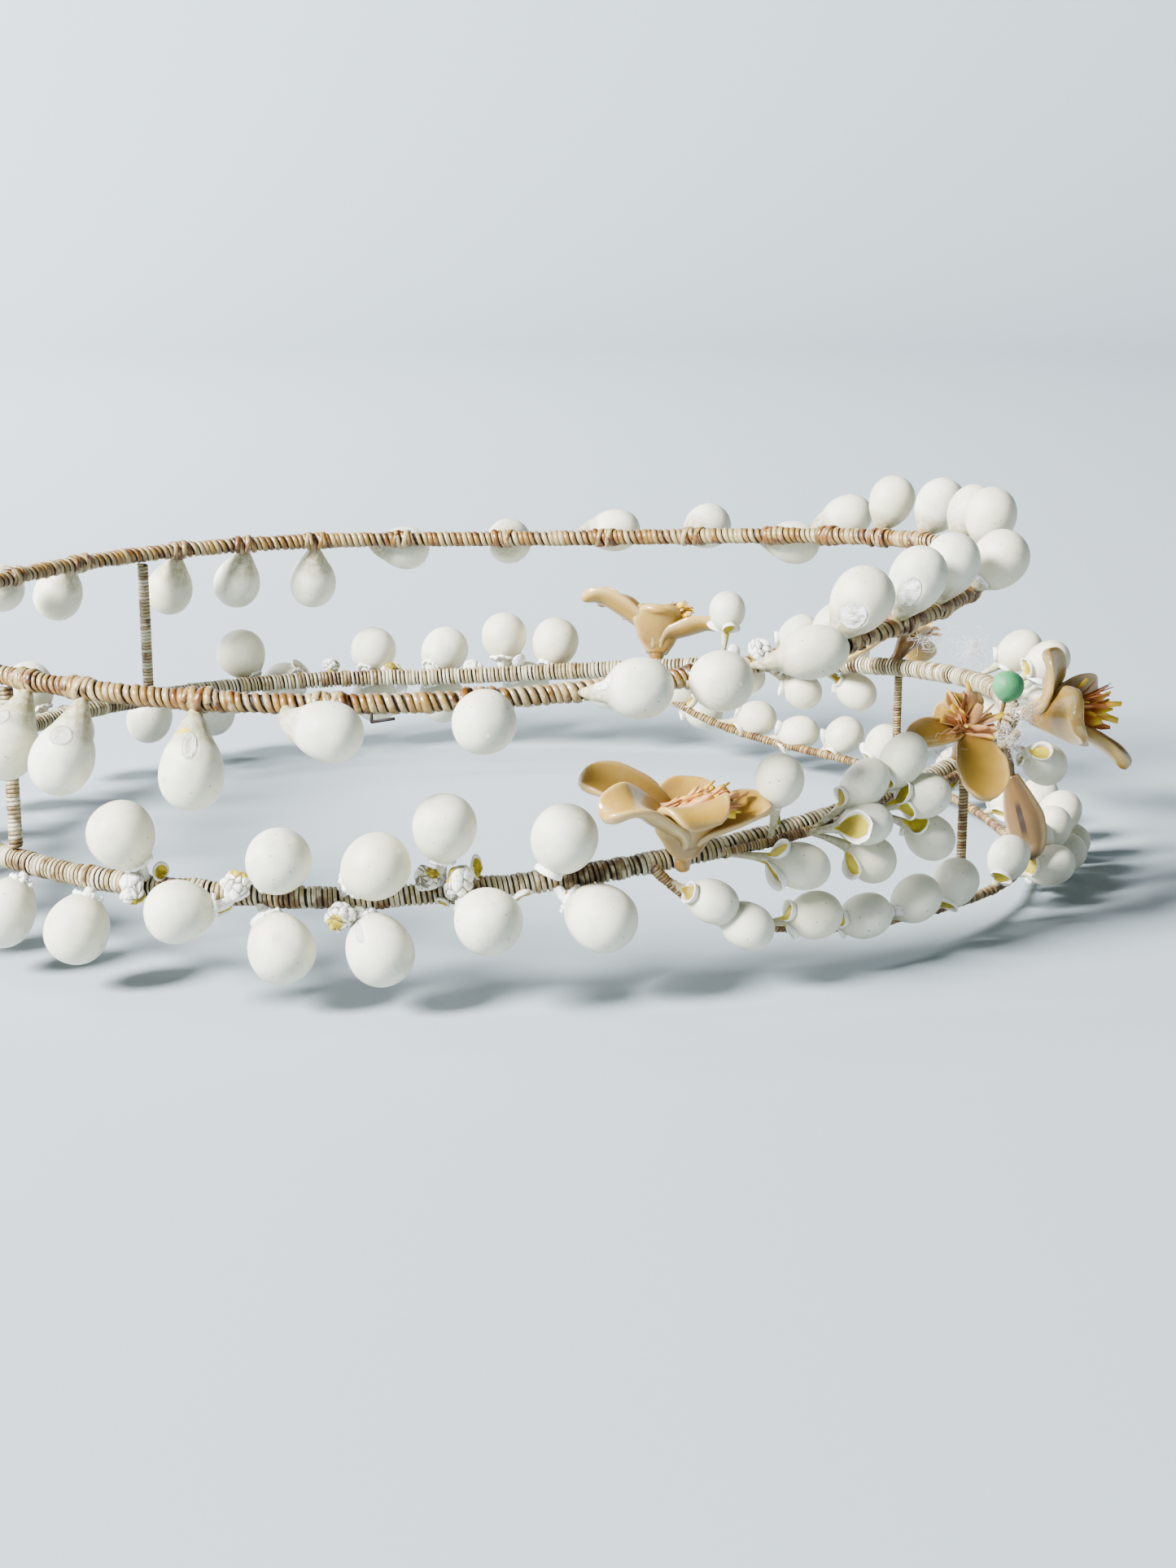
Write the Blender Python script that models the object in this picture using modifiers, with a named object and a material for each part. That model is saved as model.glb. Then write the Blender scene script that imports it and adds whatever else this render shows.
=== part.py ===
# Bridal wreath of wax orange blossom. Two wire hoops wrapped with thread, one above the
# other, carry egg-shaped wax beads. Sprays of small wax buds, a swag wire with more buds
# and five open wax flowers cover the front of the lower hoop.
# Metres, +Z up. The front is towards -Y, and the wreath rests on its lowest points.

import math
from collections import namedtuple

import bmesh
import bpy
from mathutils import Matrix, Vector

MM = 0.001
UP = Vector((0, 0, 1))
WELD = 0.01 * MM
SHARP_ANGLE = math.radians(50)

# Plan of the hoops, measured to their centre lines
HALF_WIDTH = 82 * MM
BACK_REACH = 84 * MM
UPPER_REACH = 111 * MM
LOWER_REACH = 116.5 * MM

# Heights of the hoops at the sides, and how far they rise at the front
UPPER_HEIGHT = 43.5 * MM
UPPER_RISE = 9 * MM
LOWER_HEIGHT = 12.5 * MM
LOWER_RISE = 13.5 * MM

# Wrapped wires
UPPER_RADIUS = 1.7 * MM
LOWER_RADIUS = 1.85 * MM
BINDING_RADIUS = 1.0 * MM
STRUT_RADIUS = 1.2 * MM
STRUT_TURN = 132
GAP = 0.3 * MM
HOOP_STEP = 7.2
NEIGHBOUR_STEP = 0.5

# Swag wire below the front half of the lower hoop
SWAG_TURN = 66
SWAG_HEIGHT = 1.0 * MM
SWAG_DIP = 4 * MM
SWAG_STEEPNESS = 9
SWAG_DIP_SHARPNESS = 8
SWAG_STEP = 5
SWAG_STRUT_TURN = 31

# Wax beads and buds
BEAD_LENGTH = 12 * MM
BEAD_WIDTH = 10 * MM
BEAD_NECK = 2.5 * MM
BUD_LENGTH = 10.4 * MM
BUD_WIDTH = 7.6 * MM
BUD_NECK = 5 * MM
NECK_RADIUS = 0.8 * MM
EGG_SHARE = 0.12
BEAD_SIDES = 8
BEAD_RINGS = 5
BUD_SIDES = 7
BUD_RINGS = 4
GREEN_BEAD_WIDTH = 5.6 * MM
BEAD_SIZES = (BEAD_LENGTH, BEAD_WIDTH, BEAD_NECK)
BUD_SIZES = (BUD_LENGTH, BUD_WIDTH, BUD_NECK)
GREEN_SIZES = (GREEN_BEAD_WIDTH, GREEN_BEAD_WIDTH, BUD_NECK)
BEAD_FACETS = (BEAD_SIDES, BEAD_RINGS)
BUD_FACETS = (BUD_SIDES, BUD_RINGS)

# Wax flowers
CALYX_LENGTH = 5 * MM
CALYX_BASE_RADIUS = 1.2 * MM
CALYX_TOP_RADIUS = 2.8 * MM
PETAL_LENGTH = 13 * MM
PETAL_WIDTH = 8 * MM
PETAL_THICKNESS = 1.7 * MM
PETAL_CUP = 1.2 * MM
PETAL_ROOT = 1.0 * MM
PETAL_ROOT_SHARE = 0.75
PETAL_FLARE = 0.45
STAMEN_LENGTH = 8 * MM
STAMEN_BASE_RADIUS = 1.1 * MM
STAMEN_TOP_RADIUS = 3.2 * MM

Hoop = namedtuple("Hoop", "reach height rise power radius")
UPPER = Hoop(UPPER_REACH, UPPER_HEIGHT, UPPER_RISE, 2.0, UPPER_RADIUS)
LOWER = Hoop(LOWER_REACH, LOWER_HEIGHT, LOWER_RISE, 1.5, LOWER_RADIUS)

# A place on a hoop: its point, and the directions outward, forward along it and upward.
Place = namedtuple("Place", "point outward forward up")

# Beads and buds. Angles are in degrees. turn is 0 at the front, grows to 180 at the back
# and is negative on the far side. around is 0 on the hoop's outer side and 90 above it.
# swing leans the bead from straight off the hoop (0) to along it, forwards (90).
# length, width and neck are shares of the bead's or the bud's own sizes.
Bead = namedtuple("Bead", "turn around swing length width neck")

UPPER_BEADS = [
    Bead(128, -62, -5, 1.00, 1.02, 1.1),
    Bead(120, -64, -8, 1.04, 1.00, 1.2),
    Bead(105, -66, 5, 1.07, 1.00, 1.0),
    Bead(91, -23, 70, 0.98, 0.93, 0.0),
    Bead(79, -12, 0, 0.92, 0.97, 0.0),
    Bead(67, 9, 72, 0.98, 0.93, 0.0),
    Bead(60, 4, 10, 0.92, 0.96, 0.0),
    Bead(51, 16, 70, 1.08, 0.84, 0.0),
    Bead(43.5, 66, 30, 1.00, 1.00, 0.0),
    Bead(35, 72, 25, 1.00, 0.94, 0.0),
    Bead(28, 76, 20, 0.96, 0.94, 0.0),
    Bead(20, 48, 10, 0.96, 0.96, 0.0),
    Bead(0, 80, 0, 0.96, 0.94, 0.0),
    Bead(-13.5, 53, 0, 0.94, 0.94, 0.0),
    Bead(-21, 55, 5, 0.98, 0.94, 0.0),
    Bead(-29, 65, 10, 0.92, 0.90, 0.0),
    Bead(-38, 27, 50, 0.96, 0.88, 0.0),
    Bead(-46, -18, 45, 1.00, 0.90, 0.0),
    Bead(-57, 8, 20, 0.94, 0.96, 0.0),
    Bead(-68, 5, 70, 1.00, 0.92, 0.0),
    Bead(-80, -12, 0, 0.94, 0.98, 0.0),
    Bead(-92, -25, 70, 0.98, 0.94, 0.0),
    Bead(-105, -64, 0, 1.04, 1.00, 0.9),
    Bead(-116, -62, -6, 1.00, 1.00, 0.7),
    Bead(-126, -60, 0, 1.02, 0.98, 0.8),
]
UPPER_BACK_BEADS = [
    Bead(140, -60, 0, 1.00, 1.00, 0.8),
    Bead(152, -40, 40, 0.98, 0.96, 0.2),
    Bead(165, -62, 0, 1.04, 1.00, 0.8),
    Bead(178, -20, 10, 0.94, 1.00, 0.2),
    Bead(-169, -62, 0, 1.02, 1.00, 0.8),
    Bead(-156, -42, 40, 0.98, 0.94, 0.2),
    Bead(-143, -60, 0, 1.00, 1.00, 0.8),
]
LOWER_BEADS = [
    Bead(130, -56, -5, 1.04, 0.98, 0.1),
    Bead(119.5, -58, 0, 1.00, 1.04, 0.1),
    Bead(114, 72, -20, 0.97, 1.06, 0.6),
    Bead(106, -8, -60, 0.95, 1.00, 0.0),
    Bead(96.5, 60, 30, 0.93, 1.02, 0.1),
    Bead(96.5, -60, 30, 1.00, 1.04, 0.1),
    Bead(87.5, 52, 45, 1.00, 1.02, 0.0),
    Bead(87.5, -60, 25, 1.03, 1.04, 0.2),
    Bead(82, 76, 8, 0.95, 1.00, 1.4),
    Bead(79.5, -22, 30, 0.95, 1.04, 0.3),
    Bead(73, 62, 15, 1.00, 1.04, 0.1),
    Bead(71, -42, 45, 1.03, 1.06, 0.2),
]
LOWER_FAR_BEADS = [
    Bead(-76, 56, 15, 1.00, 1.02, 0.1),
    Bead(-72, -52, 35, 1.03, 1.04, 0.4),
    Bead(-81, 66, 5, 0.95, 1.00, 0.8),
    Bead(-80, -40, 20, 0.95, 1.04, 0.3),
    Bead(-89, 44, 30, 1.00, 1.02, 0.3),
    Bead(-89, -60, 20, 1.03, 1.04, 0.5),
    Bead(-98, 48, 20, 0.93, 1.02, 0.3),
    Bead(-98, -60, 20, 1.00, 1.04, 0.4),
    Bead(-107, -25, -30, 0.95, 1.00, 0.3),
    Bead(-114, 62, -20, 0.97, 1.04, 0.3),
    Bead(-120, -60, 0, 1.00, 1.04, 0.5),
    Bead(-129, -58, -5, 1.04, 0.98, 0.3),
]
LOWER_BACK_BEADS = [
    Bead(139, -58, 0, 1.02, 1.00, 0.4),
    Bead(143, 54, 10, 0.96, 1.02, 0.3),
    Bead(153, -50, 15, 1.00, 1.04, 0.3),
    Bead(158, 58, 0, 0.98, 1.00, 0.3),
    Bead(168, -58, 0, 1.04, 1.02, 0.4),
    Bead(175, 52, 10, 0.96, 1.02, 0.3),
    Bead(-176, -52, 0, 1.00, 1.04, 0.3),
    Bead(-166, 56, 15, 0.98, 1.00, 0.3),
    Bead(-160, -58, 0, 1.02, 1.02, 0.4),
    Bead(-149, 54, 0, 0.96, 1.02, 0.3),
    Bead(-143, -56, 10, 1.00, 1.00, 0.4),
]
SPRAY_BUDS = [
    Bead(55.5, 76, 5, 0.92, 1.03, 1.2),
    Bead(50.5, 76, 54, 1.00, 0.93, 0.9),
    Bead(51, -70, 50, 0.93, 1.02, 1.2),
    Bead(59, -46, 62, 1.06, 1.00, 1.0),
    Bead(52, -2, 70, 0.96, 0.92, 0.9),
    Bead(45, 76, 38, 1.06, 0.97, 0.8),
    Bead(45.5, 18, 66, 0.96, 0.97, 1.0),
    Bead(44, -68, 50, 0.96, 1.00, 1.2),
    Bead(20, -54, 46, 0.96, 1.00, 1.0),
]
FRONT_FAR_BUDS = [
    Bead(-15, 46, 36, 1.00, 1.00, 0.8),
    Bead(-12, -24, 30, 0.96, 1.00, 0.9),
    Bead(-7, 34, 8, 0.98, 1.00, 0.7),
]
SWAG_BUDS = [
    Bead(64.5, 40, 66, 0.92, 0.94, 0.4),
    Bead(61.5, 8, 62, 0.95, 1.00, 0.4),
    Bead(56, 52, 58, 0.96, 1.03, 0.6),
    Bead(50, 44, 60, 0.96, 0.98, 0.4),
    Bead(42.5, 52, 35, 0.94, 1.03, 0.2),
    Bead(35.5, 66, 25, 0.94, 1.05, 0.1),
    Bead(23, 72, 15, 0.90, 0.95, 0.2),
]
TIP_BUDS = [
    Bead(14, 66, 20, 0.96, 1.00, 0.2),
    Bead(15, 20, 10, 0.96, 0.98, 0.3),
    Bead(9.5, 54, 10, 1.00, 1.00, 0.6),
    Bead(8, 14, 10, 0.98, 1.00, 0.5),
    Bead(3, 46, 5, 1.00, 1.02, 1.0),
    Bead(1, 8, 0, 0.98, 1.00, 0.8),
    Bead(-5, 50, 0, 1.00, 1.00, 0.7),
    Bead(-6.5, 8, 0, 0.96, 1.00, 0.5),
    Bead(-13, 34, 10, 0.96, 0.98, 0.3),
]
GREEN_BEAD = Bead(18.3, 78, 0, 1.0, 1.0, 0.9)


def mirrored(beads):
    """The same beads on the other side of the wreath."""
    return [bead._replace(turn=-bead.turn) for bead in beads]


# Beads or buds joined along a binding wire, which goes from the turn start to stop.
Garland = namedtuple("Garland", "hoop beads start stop sizes facets")

FAR_BUDS = mirrored(SPRAY_BUDS) + FRONT_FAR_BUDS
GARLANDS = {
    "upper_beads_back": Garland(UPPER, UPPER_BACK_BEADS, 138, 219, BEAD_SIZES, BEAD_FACETS),
    "lower_beads_far": Garland(LOWER, LOWER_FAR_BEADS, -71, -130, BEAD_SIZES, BEAD_FACETS),
    "lower_beads_back": Garland(LOWER, LOWER_BACK_BEADS, 137, 219, BEAD_SIZES, BEAD_FACETS),
    "spray_near": Garland(LOWER, SPRAY_BUDS, 60, 17, BUD_SIZES, BUD_FACETS),
    "spray_far": Garland(LOWER, FAR_BUDS, -60, -5, BUD_SIZES, BUD_FACETS),
}

# Petals. spin turns around the flower's axis: 0 is forward along the hoop, 90 is above
# the axis and -90 below it. rise lifts a petal from square to the axis (0) to along it
# (90), and curl bends its tip back. length and width are shares of a petal's own sizes.
Petal = namedtuple("Petal", "spin rise curl length width")

# Flowers. lift is the axis's angle above level, and yaw turns it forwards along the hoop.
# calyx and stamens are shares of CALYX_LENGTH and STAMEN_LENGTH.
Flower = namedtuple("Flower", "turn around lift yaw calyx stamens petals")

SIDE_PETALS = [
    Petal(-82, 48, -20, 0.92, 1.50),
    Petal(0, 0, -15, 1.08, 1.00),
    Petal(204, 18, -20, 1.27, 1.06),
    Petal(150, 36, 15, 1.19, 1.13),
    Petal(68, 48, 0, 0.85, 1.38),
]
TEMPLE_PETALS = [
    Petal(-118, -30, 10, 0.88, 1.00),
    Petal(186, 4, -10, 0.88, 0.88),
    Petal(132, 20, 20, 0.77, 1.00),
    Petal(40, 25, 10, 0.73, 0.94),
]
FRONT_PETALS = [
    Petal(96, 26, 15, 0.81, 1.13),
    Petal(176, 54, 10, 1.12, 1.31),
    Petal(-112, 62, 25, 1.46, 0.94),
    Petal(8, 45, 10, 1.00, 1.19),
    Petal(-40, 42, 25, 0.92, 1.00),
]
LOOSE_PETALS = [
    Petal(180, 86, 8, 1.19, 0.94),
]
FLOWERS = {
    "side_near": Flower(63.5, 4, 66, 0, 1.0, 1.0, SIDE_PETALS),
    "side_far": Flower(-63.5, 4, 66, 0, 1.0, 1.0, SIDE_PETALS),
    "temple_near": Flower(30, 62, 52, 10, 1.0, 0.8, TEMPLE_PETALS),
    "temple_far": Flower(-30, 62, 52, 10, 1.0, 0.8, TEMPLE_PETALS),
    "front": Flower(9, 10, 10, -14, 0.6, 1.4, FRONT_PETALS),
}
LOOSE_PETAL = Flower(18, -62, -74, 6, 1.1, 0.0, LOOSE_PETALS)


def clear_scene():
    for scene_object in list(bpy.data.objects):
        bpy.data.objects.remove(scene_object)


def new_collection(name):
    collection = bpy.data.collections.new(name)
    bpy.context.scene.collection.children.link(collection)
    return collection


def material(name, color, roughness, metallic=0.0):
    made = bpy.data.materials.new(name)
    made.use_nodes = True
    shader = made.node_tree.nodes["Principled BSDF"]
    shader.inputs["Base Color"].default_value = (*color, 1.0)
    shader.inputs["Roughness"].default_value = roughness
    shader.inputs["Metallic"].default_value = metallic
    return made


def hoop_point(hoop, turn):
    """Centre of the hoop at a turn in radians: half ellipses, higher towards the front."""
    ahead = math.cos(turn)
    reach = hoop.reach if ahead > 0 else BACK_REACH
    height = hoop.height + hoop.rise * max(ahead, 0.0) ** hoop.power
    return Vector((-HALF_WIDTH * math.sin(turn), -reach * ahead, height))


def swag_point(turn):
    """Centre of the swag wire, which drops from the lower hoop's outer side."""
    place = hoop_place(LOWER, turn)
    share = abs(turn) / math.radians(SWAG_TURN)
    end = hoop_point(LOWER, math.radians(SWAG_TURN)).z
    point = place.point + place.outward * (LOWER_RADIUS + GAP + BINDING_RADIUS)
    dip = SWAG_DIP * max(math.cos(turn), 0.0) ** SWAG_DIP_SHARPNESS
    point.z = SWAG_HEIGHT - dip + (end - SWAG_HEIGHT) * share**SWAG_STEEPNESS
    return point


def place_on(path, turn):
    """Place on a path, with its directions worked out from its two neighbours."""
    step = math.radians(NEIGHBOUR_STEP)
    towards = -step if turn >= 0 else step
    forward = (path(turn + towards) - path(turn - towards)).normalized()
    side = forward.cross(UP).normalized()
    outward = side if side.dot(path(turn)) > 0 else -side
    up = outward.cross(forward)
    up = up if up.z > 0 else -up
    return Place(path(turn), outward, forward, up)


def hoop_place(hoop, turn):
    return place_on(lambda at: hoop_point(hoop, at), turn)


def link(made, collection, surface, parent):
    for other in list(made.users_collection):
        other.objects.unlink(made)
    collection.objects.link(made)
    made.parent = parent
    if surface is not None:
        made.data.materials.clear()
        made.data.materials.append(surface)
    return made


def tube(name, points, radius, closed=False):
    """Wire through points, as a mesh whose caps are welded to its wall."""
    curve = bpy.data.curves.new(name, "CURVE")
    curve.dimensions = "3D"
    curve.twist_mode = "Z_UP"
    curve.bevel_depth = radius
    curve.bevel_resolution = 2
    curve.use_fill_caps = True
    spline = curve.splines.new("POLY")
    spline.points.add(len(points) - 1)
    for spline_point, point in zip(spline.points, points):
        spline_point.co = (*point, 1.0)
    spline.use_cyclic_u = closed
    guide = bpy.data.objects.new(name + "_curve", curve)
    bpy.context.scene.collection.objects.link(guide)
    graph = bpy.context.evaluated_depsgraph_get()
    mesh = bpy.data.meshes.new_from_object(guide.evaluated_get(graph))
    bpy.data.objects.remove(guide)
    bm = bmesh.new()
    bm.from_mesh(mesh)
    bmesh.ops.remove_doubles(bm, verts=bm.verts, dist=WELD)
    bm.to_mesh(mesh)
    bm.free()
    mesh.shade_smooth()
    mesh.set_sharp_from_angle(angle=SHARP_ANGLE)
    return bpy.data.objects.new(name, mesh)


def wire_points(path, start, stop, step):
    """Points along a path between two turns in degrees, about step degrees apart."""
    count = max(2, round(abs(stop - start) / step))
    turns = [start + (stop - start) * index / count for index in range(count + 1)]
    return [path(math.radians(turn)) for turn in turns]


def upright(up_direction, forward):
    """Rotation whose Z is up_direction and whose X lies towards forward."""
    z = up_direction.normalized()
    y = z.cross(forward)
    if y.length < 1e-6:
        y = z.cross(Vector((1, 0, 0)))
    y.normalize()
    return Matrix((y.cross(z), y, z)).transposed().to_4x4()


def egg(name, length, width, neck, sides, rings):
    """Turned wax egg along +Z, wider at its free end, with a neck of wire below it."""
    outline = []
    for ring in range(rings + 1):
        angle = math.pi * ring / rings
        swell = 1 + EGG_SHARE * math.cos(angle)
        radius = max(width / 2 * math.sin(angle) * swell, 0.0)
        outline.append((radius, length / 2 * math.cos(angle)))
    if neck > 0:
        shoulder = -length / 2 + NECK_RADIUS
        outline[-1:] = [
            (NECK_RADIUS, shoulder),
            (NECK_RADIUS, -length / 2 - neck),
            (0.0, -length / 2 - neck),
        ]
    mesh = bpy.data.meshes.new(name)
    bm = bmesh.new()
    corners = [bm.verts.new((radius, 0, height)) for radius, height in outline]
    for first, second in zip(corners, corners[1:]):
        bm.edges.new((first, second))
    bm.to_mesh(mesh)
    bm.free()
    turned = bpy.data.objects.new(name, mesh)
    screw = turned.modifiers.new("Turned", "SCREW")
    screw.axis = "Z"
    screw.steps = sides
    screw.render_steps = sides
    screw.use_merge_vertices = True
    screw.merge_threshold = WELD
    screw.use_smooth_shade = True
    return turned


def bead_axis(place, bead):
    """Directions straight off the hoop and along the bead."""
    around, swing = math.radians(bead.around), math.radians(bead.swing)
    off = math.cos(around) * place.outward + math.sin(around) * place.up
    return off, math.cos(swing) * off + math.sin(swing) * place.forward


def own_sizes(bead, sizes):
    length, width, neck = sizes
    return length * bead.length, width * bead.width, neck * bead.neck


def seated_egg(name, hoop, bead, sizes):
    """Bead of its own whose belly or neck rests the clearance away from its hoop."""
    length, width, neck = own_sizes(bead, sizes)
    place = hoop_place(hoop, math.radians(bead.turn))
    off, axis = bead_axis(place, bead)
    lean = math.cos(math.radians(bead.swing))
    lie = math.sin(math.radians(bead.swing))
    side = math.sqrt((length / 2 * lean) ** 2 + (width / 2 * lie) ** 2)
    distance = hoop.radius + GAP + max(side, (length / 2 + neck) * lean)
    made = egg(name, length, width, neck, *BEAD_FACETS)
    made.matrix_world = (
        Matrix.Translation(place.point + off * distance) @ upright(axis, place.forward)
    )
    return made


def bound_egg(name, path, bead, sizes, facets, keep_off=None):
    """Bead or bud whose neck grows out of a wire. It keeps off the hoop beside the wire."""
    length, width, neck = own_sizes(bead, sizes)
    turn = math.radians(bead.turn)
    place = place_on(path, turn)
    axis = bead_axis(place, bead)[1]
    centre = place.point + axis * (neck + length / 2)
    if keep_off is not None:
        hoop_at = hoop_place(keep_off, turn)
        across = centre - hoop_at.point
        along = hoop_at.forward * across.dot(hoop_at.forward)
        clear = keep_off.radius + GAP + width / 2 * (1 + EGG_SHARE)
        side = across - along
        if side.length < clear:
            centre = hoop_at.point + along + side.normalized() * clear
    axis = centre - place.point
    stem = axis.length - length / 2
    made = egg(name, length, width, max(stem, BINDING_RADIUS / 2), *facets)
    made.matrix_world = Matrix.Translation(centre) @ upright(axis, place.forward)
    return made


def join(body, shapes, helpers, parent):
    """Boolean union of body with the helper shapes, which stay out of the build."""
    group = bpy.data.collections.new(body.name + "_shapes")
    helpers.children.link(group)
    for shape in shapes:
        link(shape, group, None, parent)
        shape.hide_render = True
        shape.display_type = "WIRE"
    union = body.modifiers.new("Joined", "BOOLEAN")
    union.operation = "UNION"
    union.operand_type = "COLLECTION"
    union.collection = group
    union.solver = "EXACT"
    return body


def beside(hoop):
    """Path of a binding wire along the hoop's outer side."""
    distance = hoop.radius + GAP + BINDING_RADIUS

    def path(turn):
        place = hoop_place(hoop, turn)
        return place.point + place.outward * distance

    return path


def petal_shape(name, petal):
    """Thick wax petal along +Z, wider and cupped towards its tip, that bends to -Y."""
    length, width = PETAL_LENGTH * petal.length, PETAL_WIDTH * petal.width
    curl = math.radians(petal.curl) or 1e-6
    mesh = bpy.data.meshes.new(name)
    bm = bmesh.new()
    bmesh.ops.create_uvsphere(bm, u_segments=BEAD_SIDES, v_segments=BEAD_RINGS, radius=1)
    for vert in bm.verts:
        along = (vert.co.z + 1) / 2
        x = vert.co.x * width / 2 * (PETAL_ROOT_SHARE + PETAL_FLARE * along)
        y = vert.co.y * PETAL_THICKNESS / 2 + PETAL_CUP * vert.co.x**2
        bend = curl * along
        centre_y = -length * (1 - math.cos(bend)) / curl
        centre_z = length * math.sin(bend) / curl
        vert.co = (x, centre_y + y * math.cos(bend), centre_z + y * math.sin(bend))
    bm.to_mesh(mesh)
    bm.free()
    mesh.shade_smooth()
    return bpy.data.objects.new(name, mesh)


def cone(name, base_radius, top_radius, length):
    """Round cone along +Z that stands on the origin."""
    mesh = bpy.data.meshes.new(name)
    bm = bmesh.new()
    bmesh.ops.create_cone(
        bm,
        cap_ends=True,
        segments=BEAD_SIDES,
        radius1=base_radius,
        radius2=top_radius,
        depth=length,
        matrix=Matrix.Translation((0, 0, length / 2)),
    )
    bm.to_mesh(mesh)
    bm.free()
    mesh.shade_smooth()
    mesh.set_sharp_from_angle(angle=SHARP_ANGLE)
    return bpy.data.objects.new(name, mesh)


def flower_parts(name, flower, helpers, parent):
    """Calyx with its petals as one wax solid, and the stamens standing in it."""
    place = hoop_place(LOWER, math.radians(flower.turn))
    around, lift = math.radians(flower.around), math.radians(flower.lift)
    yaw = math.radians(flower.yaw)
    off = math.cos(around) * place.outward + math.sin(around) * place.up
    level = math.cos(lift) * place.outward + math.sin(lift) * place.up
    above = -math.sin(lift) * place.outward + math.cos(lift) * place.up
    axis = math.cos(yaw) * level + math.sin(yaw) * place.forward
    ahead = -math.sin(yaw) * level + math.cos(yaw) * place.forward
    rim = CALYX_BASE_RADIUS * math.sin(axis.angle(off))
    base = place.point + off * (LOWER_RADIUS + GAP + rim)
    calyx_length = CALYX_LENGTH * flower.calyx
    centre = base + axis * calyx_length
    turned = upright(axis, ahead)
    top_radius = CALYX_TOP_RADIUS if flower.stamens else PETAL_THICKNESS / 2
    calyx = cone(name, CALYX_BASE_RADIUS, top_radius, calyx_length)
    calyx.matrix_world = Matrix.Translation(base) @ turned
    petals = []
    for number, petal in enumerate(flower.petals):
        spin, rise = math.radians(petal.spin), math.radians(petal.rise)
        away = math.cos(spin) * ahead + math.sin(spin) * above
        along = math.cos(rise) * away + math.sin(rise) * axis
        inner = -math.sin(rise) * away + math.cos(rise) * axis
        frame = Matrix((inner.cross(along), inner, along)).transposed().to_4x4()
        root = centre + away * (top_radius - PETAL_ROOT) - axis * PETAL_ROOT
        shape = petal_shape(f"{name}_petal_{number}", petal)
        shape.matrix_world = Matrix.Translation(root) @ frame
        petals.append(shape)
    join(calyx, petals, helpers, parent)
    if not flower.stamens:
        return calyx, None
    tuft = cone(
        "stamens_" + name.removeprefix("flower_"),
        STAMEN_BASE_RADIUS,
        STAMEN_TOP_RADIUS,
        STAMEN_LENGTH * flower.stamens,
    )
    tuft.matrix_world = Matrix.Translation(centre + axis * GAP) @ turned
    return calyx, tuft


def whole_hoop(name, hoop):
    points = wire_points(lambda turn: hoop_point(hoop, turn), -180, 180, HOOP_STEP)
    return tube(name, points[1:], hoop.radius, closed=True)


def strut(name, turn):
    """Wrapped wire that stands on the lower hoop and carries the upper one."""
    foot = hoop_point(LOWER, math.radians(turn)) + UP * (LOWER_RADIUS + GAP)
    head = hoop_point(UPPER, math.radians(turn)) - UP * (UPPER_RADIUS + GAP)
    made = cone(name, STRUT_RADIUS, STRUT_RADIUS, (head - foot).length)
    made.matrix_world = Matrix.Translation(foot) @ upright(head - foot, Vector((1, 0, 0)))
    return made


def swag_strut(name, turn):
    """Wire that stands on the swag and ends just below the lower hoop's binding wire."""
    foot = swag_point(math.radians(turn))
    length = hoop_point(LOWER, math.radians(turn)).z - foot.z - BINDING_RADIUS - 2 * GAP
    made = cone(name, BINDING_RADIUS, BINDING_RADIUS, length)
    made.matrix_world = Matrix.Translation(foot)
    return made


def own_beads(prefix, hoop, beads):
    for number, bead in enumerate(beads, start=1):
        yield seated_egg(f"{prefix}_{number:02d}", hoop, bead, BEAD_SIZES)


def garland(name, settings, helpers, parent):
    """Beads or buds joined along a binding wire on the outer side of a hoop."""
    hoop, beads, start, stop, sizes, facets = settings
    path = beside(hoop)
    eggs = [
        bound_egg(f"{name}_{number}", path, bead, sizes, facets, keep_off=hoop)
        for number, bead in enumerate(beads)
    ]
    points = wire_points(path, start, stop, HOOP_STEP)
    return join(tube(name, points, BINDING_RADIUS), eggs, helpers, parent)


def swag(helpers, parent):
    """Thin wrapped wire below the front, with its buds and its two short struts."""
    buds = SWAG_BUDS + TIP_BUDS + mirrored(SWAG_BUDS)
    shapes = [
        bound_egg(f"swag_{number}", swag_point, bud, BUD_SIZES, BUD_FACETS)
        for number, bud in enumerate(buds)
    ]
    shapes += [
        swag_strut("swag_strut_near", SWAG_STRUT_TURN),
        swag_strut("swag_strut_far", -SWAG_STRUT_TURN),
    ]
    points = wire_points(swag_point, SWAG_TURN, -SWAG_TURN, SWAG_STEP)
    return join(tube("swag", points, BINDING_RADIUS), shapes, helpers, parent)


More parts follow.
